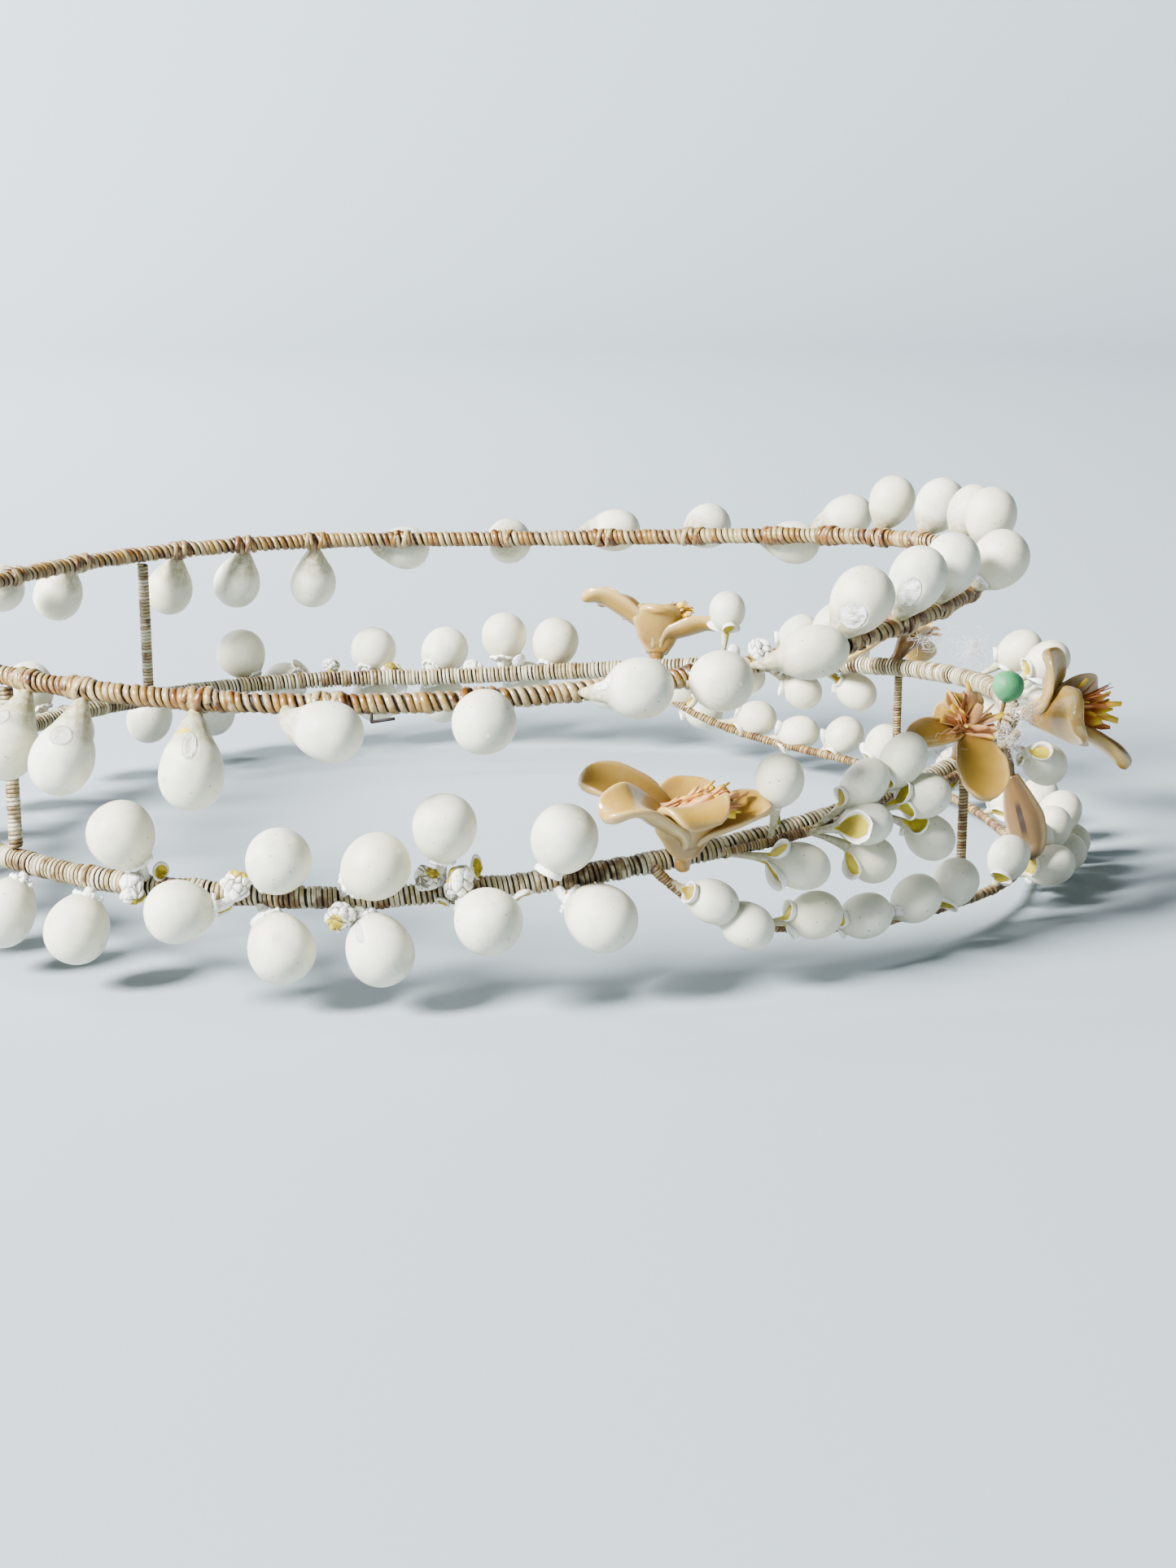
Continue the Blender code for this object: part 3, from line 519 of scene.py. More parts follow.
class Shape:
    """Gathers points, faces and point values of one piece, and makes its object."""

    def __init__(self):
        self.points, self.faces, self.marks = [], [], []
        self.count = 0

    def grid(self, rings, **marks):
        """Skins an array of rings (rows, sides, 3) as a tube, and closes its ends."""
        rows, sides = rings.shape[:2]
        index = np.arange(rows * sides).reshape(rows, sides) + self.count
        turned = np.roll(index, -1, axis=1)
        quads = np.stack([index[:-1], turned[:-1], turned[1:], index[1:]], axis=-1)
        self.faces += quads.reshape(-1, 4).tolist()
        self.faces += [index[0][::-1].tolist(), index[-1].tolist()]
        self.points.append(rings.reshape(-1, 3))
        spread = {key: np.broadcast_to(value, (rows, sides)).ravel() for key, value in marks.items()}
        self.marks.append((rows * sides, spread))
        self.count += rows * sides

    def make(self, name, surface, slot, *nodes):
        """Makes the object, with each point value as an attribute that its material reads."""
        mesh = bpy.data.meshes.new(name)
        mesh.from_pydata(np.concatenate(self.points), [], self.faces)
        for mark in sorted({key for _, marks in self.marks for key in marks}):
            values = [marks.get(mark, np.zeros(count)) for count, marks in self.marks]
            attribute = mesh.attributes.new(mark, "FLOAT", "POINT")
            attribute.data.foreach_set("value", np.concatenate(values).astype(np.float32))
        mesh.shade_smooth()
        mesh.materials.append(material(surface))
        piece = bpy.data.objects.new(name, mesh)
        bpy.context.scene.collection.objects.link(piece)
        piece.location = wreath_shift()
        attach(piece, "root")
        if nodes:
            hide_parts(*nodes)


def rings_along(spine, radius, sides, normal=None, flat=1.0):
    """Rings square to a spine. flat is their thickness along normal, as a share."""
    tangent = unit(np.gradient(spine, axis=0))
    if normal is None:
        start = np.cross(tangent[0], UP if abs(tangent[0][2]) < 0.9 else FORWARD_MOST)
        normal = np.broadcast_to(start, spine.shape)
    normal = unit(normal - dots(normal, tangent) * tangent)
    across = np.cross(tangent, normal)
    angle = np.linspace(0, 2 * math.pi, sides, endpoint=False)[:, None]
    radius = np.broadcast_to(radius, len(spine))[:, None, None]
    ring = np.cos(angle) * flat * normal[:, None] + np.sin(angle) * across[:, None]
    return spine[:, None] + ring * radius


def bezier(start, control, stop, count):
    """Points of a curve that leaves start towards control and comes to stop from it."""
    share = np.linspace(0, 1, count)[:, None]
    return (1 - share) ** 2 * start + 2 * share * (1 - share) * control + share**2 * stop


def wavy(rng, values, waves=4, lowest=1.0, highest=4.0):
    """Slow random curve between about -1 and 1 along values."""
    total = np.zeros_like(values, dtype=float)
    for _ in range(waves):
        total += np.sin(values * rng.uniform(lowest, highest) + rng.uniform(0, 2 * math.pi))
    return total / waves


# Windings

# A winding of flat thread. pitch is from one strand to the next, starts is how many
# strands run side by side, steps how many points a turn has, and age how brown it is.
Winding = namedtuple("Winding", "radius pitch width thick starts steps sides age")
FLOSS_THICKNESS = 0.6 * MM
THREAD_THICKNESS = 0.42 * MM
FINE_THICKNESS = 0.24 * MM
CORE_SHARE = 0.78
AGE_LENGTH = 9 * MM
KNOT_LENGTH = 2.4 * MM
KNOT_HEIGHT = 0.22 * MM
KNOT_HALF = 2.0 * MM
KNOT_LIFT = 0.42 * MM
WIRE_END_TURN = 87.5
WIRE_END_LENGTH = 3.6 * MM
WIRE_END_RADIUS = 0.26 * MM
PATH_SAMPLES = 1500
SLACK = 0.26
LOOSENESS = 0.05 * MM
UPRIGHT_LOOSENESS = 0.04 * MM
WIDTH_CHANGE = 0.14


def strand(shape, spine, radial, width, winding, **marks):
    """One strand of flat thread along a spine, with its flat side to the wire."""
    rings = rings_along(spine, width, winding.sides, radial, winding.thick / winding.width)
    around = np.linspace(0, 1, winding.sides, endpoint=False)[None, :]
    marks = {name: values[:, None] for name, values in marks.items()}
    shape.grid(rings, across=np.abs(around - 0.5) * 2, **marks)


def wind(shape, path, start, stop, winding, rng, knots=()):
    """Winds thread round a path between two of its parameters, thicker at each knot."""
    samples = np.linspace(start, stop, PATH_SAMPLES)
    steps = np.linalg.norm(np.diff(path(samples), axis=0), axis=1)
    run = np.concatenate([[0], np.cumsum(steps)])
    coils = run[-1] / (winding.pitch * winding.starts)
    count = int(coils * winding.steps)
    coil = np.linspace(0, coils, count)
    slack = SLACK * wavy(rng, coil, 5, 0.5, 2.5)
    at = np.interp((coil + slack) / coils * run[-1], run, samples)
    place = place_on(path, at)
    way = 1 if stop > start else -1
    length = np.interp(way * at, way * samples, run)
    if way < 0:
        length = run[-1] - length
    swell = np.zeros(count)
    for knot in knots:
        there = np.linalg.norm(place.point - path(knot), axis=1)
        swell = np.maximum(swell, np.exp(-((there / KNOT_LENGTH) ** 2)))
    for number in range(winding.starts):
        shifted = coil + number / winding.starts
        turned = shifted * 2 * math.pi
        own = np.floor(turned / (2 * math.pi)).astype(int)
        ease = rng.normal(0, 1, int(coils) + 3)
        ease = np.interp(shifted, np.arange(len(ease)), ease)
        radial = np.cos(turned)[:, None] * place.outward + np.sin(turned)[:, None] * place.up
        reach = winding.radius - winding.thick / 2 + LOOSENESS * ease + KNOT_HEIGHT * swell
        strand(
            shape,
            place.point + radial * reach[:, None],
            radial,
            winding.width / 2 * (1 + WIDTH_CHANGE * ease),
            winding,
            along=np.arange(count) / winding.steps,
            tint=rng.uniform(0, 1, int(coils) + 3)[own],
            age=winding.age + 0.5 * wavy(rng, length / AGE_LENGTH, 5, 0.4, 2.4) + 0.35 * swell,
        )


def core(shape, path, start, stop, radius, count):
    """The wire and under-wrap below the thread."""
    shape.grid(rings_along(path(np.linspace(start, stop, count)), radius * CORE_SHARE, 8))


def bead_turns(beads):
    return [math.radians(bead.turn) for bead in beads]


def strut_path(turn):
    foot = hoop_point(LOWER, math.radians(turn)) + UP * (LOWER.radius + GAP)
    top = hoop_point(UPPER, math.radians(turn)) - UP * (UPPER.radius + GAP)
    return straight(foot, top)


def swag_strut_path(turn):
    foot = swag_point(math.radians(turn))
    height = hoop_point(LOWER, math.radians(turn))[2] - foot[2] - BINDING_RADIUS - 2 * GAP
    return straight(foot, foot + UP * height)


def straight(foot, top):
    """A path whose parameter goes from 0 at the foot to 1 at the top."""
    return lambda share: foot + np.asarray(share, float)[..., None] * (top - foot)


def wind_upright(shape, path, winding, rng):
    """Winds a standing wire, whose own directions are level ones."""
    coils = np.linalg.norm(path(1.0) - path(0.0)) / winding.pitch
    count = int(coils * winding.steps)
    coil = np.linspace(0, coils, count)
    turned = coil * 2 * math.pi
    radial = np.stack([np.cos(turned), np.sin(turned), np.zeros(count)], axis=-1)
    loose = UPRIGHT_LOOSENESS * wavy(rng, coil, 4, 1, 5)
    reach = winding.radius - winding.thick / 2 + loose
    strand(
        shape,
        path(coil / coils) + radial * reach[:, None],
        radial,
        winding.width / 2,
        winding,
        along=coil,
        tint=rng.uniform(0, 1, int(coils) + 2)[np.floor(coil).astype(int)],
        age=0.6 + 0.3 * wavy(rng, coil, 4, 0.1, 0.6),
    )


# Beads and buds

# How a drop is formed. point draws it in towards its neck, whose film of wax starts
# from the wire at neck_radius and meets the egg at neck_angle. A low cone is a full neck.
Look = namedtuple("Look", "point neck_radius neck_angle cone lumps sides rings neck_rings lead")
UPPER_LOOK = Look(0.04, 0.7 * MM, 49, 0.96, 0.009, 44, 31, 8, 1.2 * MM)
LOWER_LOOK = Look(0.30, 0.8 * MM, 20, 1.5, 0.009, 44, 31, 6, 1.2 * MM)
BUD_LOOK = Look(0.85, 0.42 * MM, 30, 1.7, 0.008, 36, 28, 10, 2.4 * MM)
DRAWN_LOOK = Look(0.95, 0.55 * MM, 40, 1.05, 0.009, 44, 31, 8, 1.6 * MM)
GREEN_LOOK = Look(0.05, 0.3 * MM, 10, 1.7, 0.012, 36, 28, 10, 2.4 * MM)
BEAD_LOOKS = {UPPER: UPPER_LOOK, LOWER: LOWER_LOOK}
DRAWN_BEADS = {"upper_bead_08", "upper_bead_06"}
NECK_CHIP = Mark("chip", 0, 0, 30, 1000)
NECK_REACH = 0.5
NECK_FILM = 0.55
WINDOW_DEPTH = 0.13
CHIP_DEPTH = 0.12
SCAR_DEPTH = 0.08
SCAR_RIM = 0.04
FLAP_HEIGHT = 0.62 * MM
FLAP_WALL = 0.13 * MM
FLAP_REACH = 128
FLAP_STEPS = 28
FLAP_SIDES = 10
FILM_END = 66
CRUMB_DEPTH = 0.045
COLLAR_THICK = 0.4 * MM
COLLAR_STEPS = 64
FAR_AWAY = 9.0


class Drop:
    """A bead or bud: an egg of wax drawn out to a neck that grows from its wire."""

    def __init__(self, root, lead, centre, axis, length, width, outward, look, rng):
        self.centre, self.axis = centre, axis
        self.length, self.width, self.look = length, width, look
        self.first = unit(outward - np.dot(outward, axis) * axis)
        self.second = np.cross(axis, self.first)
        self.root, self.lead = root, lead
        self.waves = [
            (rng.normal(0, 1.6, 3), rng.uniform(0, 2 * math.pi), rng.uniform(0.4, 1.0))
            for _ in range(5)
        ]

    def radius(self, along, facing):
        """Distance from the axis, for angles along and facing in degrees."""
        angle = np.radians(along)
        bow = np.cos(angle)
        drawn = 1 + self.look.point * np.maximum(bow, 0)
        plain = self.width / 2 * np.sin(angle).clip(0) ** drawn * (1 - EGG_SHARE * bow)
        normal = np.stack(
            [
                bow * np.ones(facing.shape),
                np.sin(angle) * np.cos(np.radians(facing)),
                np.sin(angle) * np.sin(np.radians(facing)),
            ],
            axis=-1,
        )
        lumps = sum(size * np.sin(normal @ wave + shift) for wave, shift, size in self.waves)
        return plain * (1 + self.look.lumps * lumps)

    def surface(self, along, facing, lift=0.0):
        """Points on the wax at these angles, lifted off it."""
        radius = (self.radius(along, facing) + lift)[..., None]
        side = (
            np.cos(np.radians(facing))[..., None] * self.first
            + np.sin(np.radians(facing))[..., None] * self.second
        )
        height = (self.length / 2 * np.cos(np.radians(along)))[..., None]
        return self.centre - height * self.axis + radius * side

    def marked(self, along, facing, marks):
        """Distance to the nearest mark of each kind, where 1 is a mark's edge."""
        found = {kind: np.full(along.shape, FAR_AWAY) for kind in ("olive", "chip", "scar")}
        for mark in marks:
            turned = (facing - mark.facing + 180) % 360 - 180
            away = np.hypot((along - mark.along) / mark.reach, turned / mark.spread)
            found[mark.kind] = np.minimum(found[mark.kind], away)
        return found

    def build(self, shape, marks, rng):
        """Adds the wax from the wire to its free end, with its marks and flaps."""
        look = self.look
        share = np.linspace(0, 1, look.rings)
        along = (look.neck_angle + (180 - look.neck_angle) * share**1.1)[:, None]
        facing = np.linspace(0, 360, look.sides, endpoint=False)[None, :]
        along, facing = np.broadcast_arrays(along, facing)
        near = self.marked(along, facing, marks)
        sunk = WINDOW_DEPTH * (1 - smooth(near["olive"], 0.55, 1.0))
        crumbs = rng.normal(0, CRUMB_DEPTH, along.shape)
        sunk += (CHIP_DEPTH + crumbs) * (1 - smooth(near["chip"], 0.8, 1.02))
        sunk += SCAR_DEPTH * (1 - smooth(near["scar"], 0.35, 0.9))
        sunk -= SCAR_RIM * np.exp(-(((near["scar"] - 0.95) / 0.16) ** 2))
        body = self.surface(along, facing, -sunk * self.radius(along, facing))
        neck, share = self.neck(body[0])
        drawn = (look.neck_angle * np.clip((share - NECK_REACH) / (1 - NECK_REACH), 0, 1))[:, None]
        on_neck = self.marked(np.broadcast_to(drawn, neck.shape[:2]), facing[: len(neck)], marks)
        film = NECK_FILM * (1 - smooth(along[:, 0], look.neck_angle, FILM_END))
        film = np.concatenate([1 - (1 - NECK_FILM) * share**1.5, film])[:, None]
        kinds = {kind: np.concatenate([on_neck[kind], near[kind]]) for kind in near}
        rings = np.concatenate([neck, body])
        shape.grid(rings, film=film, tint=rng.uniform(0, 1), crust=0.0, **kinds)
        for mark in marks:
            if mark.kind == "olive":
                self.flap(shape, mark, rng)

    def neck(self, last):
        """Rings from the wire to the first ring of the body, and how far on each is."""
        look = self.look
        stop = last.mean(axis=0)
        wide = np.linalg.norm(last - stop, axis=1).mean()
        share = np.linspace(0, 1, look.neck_rings + 1)
        bend = stop - self.axis * max(np.linalg.norm(stop - self.root) * 0.5, 0.2 * MM)
        spine = bezier(self.root - self.lead, bend, stop, look.neck_rings + 1)
        widths = look.neck_radius + (wide - look.neck_radius) * share**look.cone
        tangent = unit(np.gradient(spine, axis=0))
        first = unit(self.first - dots(np.broadcast_to(self.first, tangent.shape), tangent) * tangent)
        second = np.cross(tangent, first)
        angle = np.linspace(0, 2 * math.pi, look.sides, endpoint=False)[:, None]
        ring = np.cos(angle) * first[:, None] + np.sin(angle) * second[:, None]
        return (spine[:, None] + ring * widths[:, None, None])[:-1], share[:-1]

    def flap(self, shape, mark, rng):
        """Thin shell that stands up around a window: olive inside and white outside."""
        angle = np.radians(np.linspace(-FLAP_REACH, FLAP_REACH, FLAP_STEPS))
        rough = rng.normal(0, 0.015, len(angle)) + 0.03 * wavy(rng, angle, 4, 1, 5)
        along = np.maximum(mark.along + mark.reach * (1.0 + rough) * np.cos(angle), 12)
        facing = mark.facing + mark.spread * (1.0 + rough) * np.sin(angle)
        lip = smooth(np.cos(angle), -0.7, 0.8)
        height = FLAP_HEIGHT * (0.12 + 0.88 * lip) * (mark.reach / 24)
        foot = self.surface(along, facing, -0.1 * MM)
        out = unit(foot - self.centre + self.axis * 0.1 * self.length)
        slant = unit(out + 0.35 * lip[:, None] * -self.axis)
        spine = foot + slant * height[:, None]
        inward = self.surface(np.full(1, mark.along), np.full(1, mark.facing)) - foot
        inward = unit(inward - dots(inward, slant) * slant)
        turned = np.linspace(0, 2 * math.pi, FLAP_SIDES, endpoint=False)
        wall = FLAP_WALL * (0.8 + 0.5 * lip * rng.uniform(0.7, 1.4, len(angle)))
        ring = (
            np.cos(turned)[None, :, None] * slant[:, None] * height[:, None, None]
            + np.sin(turned)[None, :, None] * inward[:, None] * wall[:, None, None]
        )
        inside = np.where(np.sin(turned) > 0.35, 0.5, FAR_AWAY)[None, :]
        inside = np.where(np.cos(turned)[None, :] > 0.8, FAR_AWAY, inside)
        shape.grid(spine[:, None] + ring, olive=inside, crust=0.75, chip=FAR_AWAY, scar=FAR_AWAY)

    def collar(self, shape, along, rng):
        """Ragged broken edge of the wax shell around a neck."""
        facing = np.linspace(0, 360, COLLAR_STEPS)
        wave = 5 * wavy(rng, np.radians(facing), 5, 1, 7) + rng.normal(0, 1.2, len(facing))
        wave *= np.sin(np.radians(facing) / 2) ** 0.5
        spine = self.surface(along + wave, facing, 0.1 * MM)
        width = COLLAR_THICK * (0.75 + 0.6 * wavy(rng, np.radians(facing), 5, 2, 14)).clip(0.2)
        width *= rng.uniform(0.8, 1.2, len(facing))
        rings = rings_along(spine, width, 6, spine - self.centre, 1.5)
        shape.grid(rings, crust=1.0, olive=FAR_AWAY, chip=FAR_AWAY, scar=FAR_AWAY)


def off_hoop(place, around):
    """Direction straight off a hoop: around is 0 on its outer side and 90 above it."""
    around = math.radians(around)
    return math.cos(around) * place.outward + math.sin(around) * place.up


def leaning(place, bead):
    """Directions straight off the hoop and along the bead."""
    off, swing = off_hoop(place, bead.around), math.radians(bead.swing)
    return off, math.cos(swing) * off + math.sin(swing) * place.forward


def seated_drop(hoop, bead, length, width, neck, look, rng):
    """Bead whose belly or neck rests beside its hoop, with its tip drawn to the hoop."""
    place = place_on(on_hoop(hoop), math.radians(bead.turn))
    off, axis = leaning(place, bead)
    lean, lie = math.cos(math.radians(bead.swing)), math.sin(math.radians(bead.swing))
    side = math.hypot(length / 2 * lean, width / 2 * lie)
    centre = place.point + off * (hoop.radius + GAP + max(side, (length / 2 + neck) * lean))
    tip = centre - axis * length / 2 - place.point
    back = np.dot(tip, place.forward) - look.lead * lie
    root = place.point + place.forward * back + off * hoop.radius * 0.7
    return Drop(root, np.zeros(3), centre, axis, length, width, place.outward, look, rng)


def bound_drop(path, bead, length, width, neck, look, rng, keep_off=None):
    """Bead or bud whose neck grows out of a wire. It keeps off the hoop beside it."""
    turn = math.radians(bead.turn)
    place = place_on(path, turn)
    axis = leaning(place, bead)[1]
    centre = place.point + axis * (neck + length / 2)
    if keep_off is not None:
        hoop_at = place_on(on_hoop(keep_off), turn)
        across = centre - hoop_at.point
        along = hoop_at.forward * np.dot(across, hoop_at.forward)
        clear = keep_off.radius + GAP + width / 2 * (1 + EGG_SHARE)
        side = across - along
        if np.linalg.norm(side) < clear:
            centre = hoop_at.point + along + unit(side) * clear
    axis = unit(centre - place.point)
    lead = place.forward * look.lead * math.sin(math.radians(max(bead.swing, 0)))
    return Drop(place.point, lead, centre, axis, length, width, place.outward, look, rng)


def full_size(kind, share):
    """Length, width and neck of a bead or bud, from its shares."""
    parts = ("length", "width", "neck")
    return [getattr(sizes(), f"{kind}_{part}") * getattr(share, part) for part in parts]


def chance_marks(rng, count=3):
    """Olive windows spread around a bud's neck."""
    first = rng.uniform(-50, 50)
    marks = []
    for number in range(count):
        along = rng.uniform(34, 44)
        facing = first + number * 360 / count + rng.uniform(-20, 20)
        marks += windows((along, facing, rng.uniform(18, 27), rng.uniform(34, 48)))
    return marks


# Flowers

PETAL_ROWS = 30
PETAL_SIDES = 30
PETAL_CUP = 1.6 * MM
CALYX_BASE = 1.2 * MM
CALYX_TOP = 2.8 * MM
BARE_CALYX_TOP = 0.9 * MM
PETAL_ROOT = 1.0 * MM
PETAL_RIPPLE = 0.12 * MM
LIP_SHARE = 0.35
STRIP_POINTS = 7
TUFT_SPREAD = 0.7 * MM
TUBE_LENGTH = 8.5 * MM
TUBE_HEIGHT = 6.0 * MM
TUBE_OFFSET = 1.5 * MM
TUBE_RADIUS = 0.75 * MM
TUBE_WAVE = 0.35 * MM


def flower_frame(flower):
    """Base, axis, forward and upper directions, and the calyx's top, of a flower."""
    place = place_on(on_hoop(LOWER), math.radians(flower.turn))
    off, lift, yaw = off_hoop(place, flower.around), math.radians(flower.lift), math.radians(flower.yaw)
    level = math.cos(lift) * place.outward + math.sin(lift) * place.up
    above = -math.sin(lift) * place.outward + math.cos(lift) * place.up
    axis = math.cos(yaw) * level + math.sin(yaw) * place.forward
    ahead = -math.sin(yaw) * level + math.cos(yaw) * place.forward
    rim = CALYX_BASE * math.sqrt(max(0.0, 1 - float(np.dot(axis, off)) ** 2))
    base = place.point + off * (LOWER.radius + GAP + rim)
    return base, axis, ahead, above, base + axis * sizes().calyx_length * flower.calyx


def petal(shape, flower, row, rng, wrinkle):
    """One cast petal: a thick spoon of wax with round edges and a folded tip."""
    own = sizes()
    _, axis, ahead, above, centre = flower_frame(flower)
    spin = math.radians(row.spin)
    away = math.cos(spin) * ahead + math.sin(spin) * above
    cross = np.cross(axis, away)
    foot = own.calyx_length * flower.calyx * (1 - flower.start)
    root = centre - axis * foot + away * PETAL_ROOT * (1.2 if flower.stamens else 0.2)
    length, width = own.petal_length * row.length + foot * 0.8, own.petal_width * row.width

    share = np.linspace(0, 1, PETAL_ROWS)
    flare = (90 - row.rise) * smooth(share, -0.4 if flower.start > 0.5 else 0.0, 0.42)
    bend = np.radians(flare + row.curl * share + row.roll * smooth(share, 0.66, 1.0))
    step = length / (PETAL_ROWS - 1)
    heading = np.cos(bend)[:, None] * axis + np.sin(bend)[:, None] * away
    line = np.cumsum(heading, axis=0) * step
    normal = np.sin(bend)[:, None] * axis - np.cos(bend)[:, None] * away

    swell = 0.34 + 0.66 * np.sin(np.clip(share / 0.62, 0, 1) * math.pi / 2)
    tip = np.sqrt(1 - np.clip((share - 0.5) / 0.505, 0, 1) ** 2.6)
    half = width / 2 * swell * tip * (1 + 0.04 * wavy(rng, share * 6))
    angle = np.linspace(0, 2 * math.pi, PETAL_SIDES, endpoint=False)
    side, face = np.cos(angle), np.sin(angle)
    round_face = np.sign(face) * np.abs(face) ** 0.5
    lip = 1 + LIP_SHARE * np.exp(-(((share - 0.93) / 0.07) ** 2)) - 0.15 * share
    wall = own.petal_wall / 2 * row.thick * np.minimum(1, 0.35 + 2.2 * tip) * lip
    hollow = PETAL_CUP * (0.5 + 0.5 * smooth(share, 0.1, 0.6)) * (half / (width / 2))
    ripple = PETAL_RIPPLE * wavy(rng, share * 9)[:, None] * wavy(rng, side * 3)[None, :]
    ripple = ripple + wrinkle * np.sin(side[None, :] * 9 + 3 * share[:, None]) * tip[:, None]
    depth = wall[:, None] * round_face + hollow[:, None] * side**2 + ripple
    points = (
        root
        + line[:, None]
        + half[:, None, None] * side[None, :, None] * cross
        + depth[..., None] * normal[:, None]
    )
    shape.grid(points, tint=rng.uniform(0, 1), along=share[:, None], across=np.abs(side)[None, :])


def calyx(shape, flower, rng):
    """Lumpy wax foot that holds the petals to the hoop."""
    base, *_, centre = flower_frame(flower)
    share = np.linspace(-0.25, 1.15, 16)
    spine = base + share[:, None] * (centre - base)
    top = CALYX_TOP if flower.stamens else BARE_CALYX_TOP
    width = CALYX_BASE + (top - CALYX_BASE) * np.clip(share, 0, 1) ** 1.3
    width = width * (1 + 0.1 * wavy(rng, share * 9)) * np.sqrt(np.clip(1.17 - share, 0, 0.3) / 0.3)
    shape.grid(rings_along(spine, width, 16), tint=0.8, along=0.0, across=0.4)


def strip(shape, start, direction, sideways, length, width, thick, bend, rng, tip, tint):
    """One flat bit of cut straw that bends, with a notched end."""
    share = np.linspace(0, 1, STRIP_POINTS)
    spine = start + direction * (share * length)[:, None] + bend * (share**2 * length)[:, None]
    widths = width / 2 * (1 + 0.12 * rng.normal(0, 1, STRIP_POINTS))
    widths[-1] *= rng.uniform(0.3, 1.0)
    rings = rings_along(spine, widths, 6, sideways, thick / width)
    shape.grid(rings, tip=(share**4 * tip)[:, None], tint=tint)


def fan(direction, first, second, rng, spread):
    """A direction within spread degrees of another one."""
    turned = rng.uniform(0, 2 * math.pi)
    tilt = math.radians(spread) * math.sqrt(rng.uniform(0, 1))
    side = math.cos(turned) * first + math.sin(turned) * second
    return unit(math.cos(tilt) * direction + math.sin(tilt) * side)


# Tufts of straw. They start at height above the foot's top and back behind it, scattered
# along the hoop, lie over forwards by lay and fill a cone of spread degrees.
Tuft = namedtuple("Tuft", "count height back scatter lay spread longest shortest width thick burnt")
TUFTS = {
    "side": Tuft(210, 5.9 * MM, 2.2 * MM, 1.9 * MM, 30.0, 17, 1.0, 0.35, 1.5 * MM, 0.4 * MM, 0.25),
    "temple": Tuft(44, 0.8 * MM, 0.4 * MM, 1.0 * MM, 1.0, 68, 1.15, 0.4, 1.5 * MM, 0.22 * MM, 0.35),
    "front": Tuft(46, 3.0 * MM, 0.2 * MM, 0.6 * MM, 0.25, 27, 0.95, 0.6, 1.9 * MM, 0.28 * MM, 0.9),
}


def tuft(shape, flower, kind, rng):
    """Bundle of cut straws that stands in a flower."""
    _, axis, ahead, above, centre = flower_frame(flower)
    length = sizes().stamen_length * flower.stamens
    for _ in range(kind.count):
        direction = fan(unit(axis + ahead * kind.lay), above, ahead, rng, kind.spread)
        foot = centre + axis * kind.height + above * rng.normal(0, TUFT_SPREAD)
        foot = foot + ahead * rng.normal(-kind.back, kind.scatter)
        strip(
            shape,
            foot,
            direction,
            unit(np.cross(direction, rng.normal(0, 1, 3))),
            length * kind.longest * rng.uniform(kind.shortest, 1),
            kind.width * rng.uniform(0.4, 1.3),
            kind.thick,
            rng.normal(0, 0.14, 3),
            rng,
            tip=float(rng.uniform(0, 1) < 0.5),
            tint=float(np.clip(rng.normal(kind.burnt, 0.22), 0, 1)),
        )


def straw_tube(shape, flower, rng):
    """The one thick straw that lies across the side flower."""
    _, axis, ahead, above, centre = flower_frame(flower)
    share = np.linspace(-0.35, 0.65, 22)
    lying = unit(ahead + 0.22 * axis)
    start = centre + axis * TUBE_HEIGHT - above * TUBE_OFFSET
    spine = start + lying * (share * TUBE_LENGTH)[:, None]
    spine = spine + axis * (TUBE_WAVE * wavy(rng, share * 9))[:, None]
    width = TUBE_RADIUS * (1 + 0.12 * wavy(rng, share * 14))
    shape.grid(rings_along(spine, width, 12), tint=0.18, tip=0.0)


# Crumbs, cups and lint

STUB_SQUASH = np.array((1.0, 0.9, 0.85))
STUB_CELLS = 26
STUB_FOOT = 0.75 * MM
CUP_WALL = 0.36 * MM
CUP_WIDTH = 0.68
CUP_SQUASH = np.array((1.0, 0.8, 1.0))
CUP_RINGS = 10
LINT_FIBRES = 70
LINT_BENDS = 8
LINT_RADIUS = 0.028 * MM


def spot_place(spot):
    """Place on its hoop of a stub, cup or tuft, and the direction that it lies in."""
    place = place_on(on_hoop(spot.hoop), math.radians(spot.turn))
    return place, off_hoop(place, spot.around)


def square_to(axis, forward):
    """Three directions square to one another, the last of them axis."""
    first = unit(np.cross(axis, forward))
    return np.stack([first, np.cross(axis, first), axis])


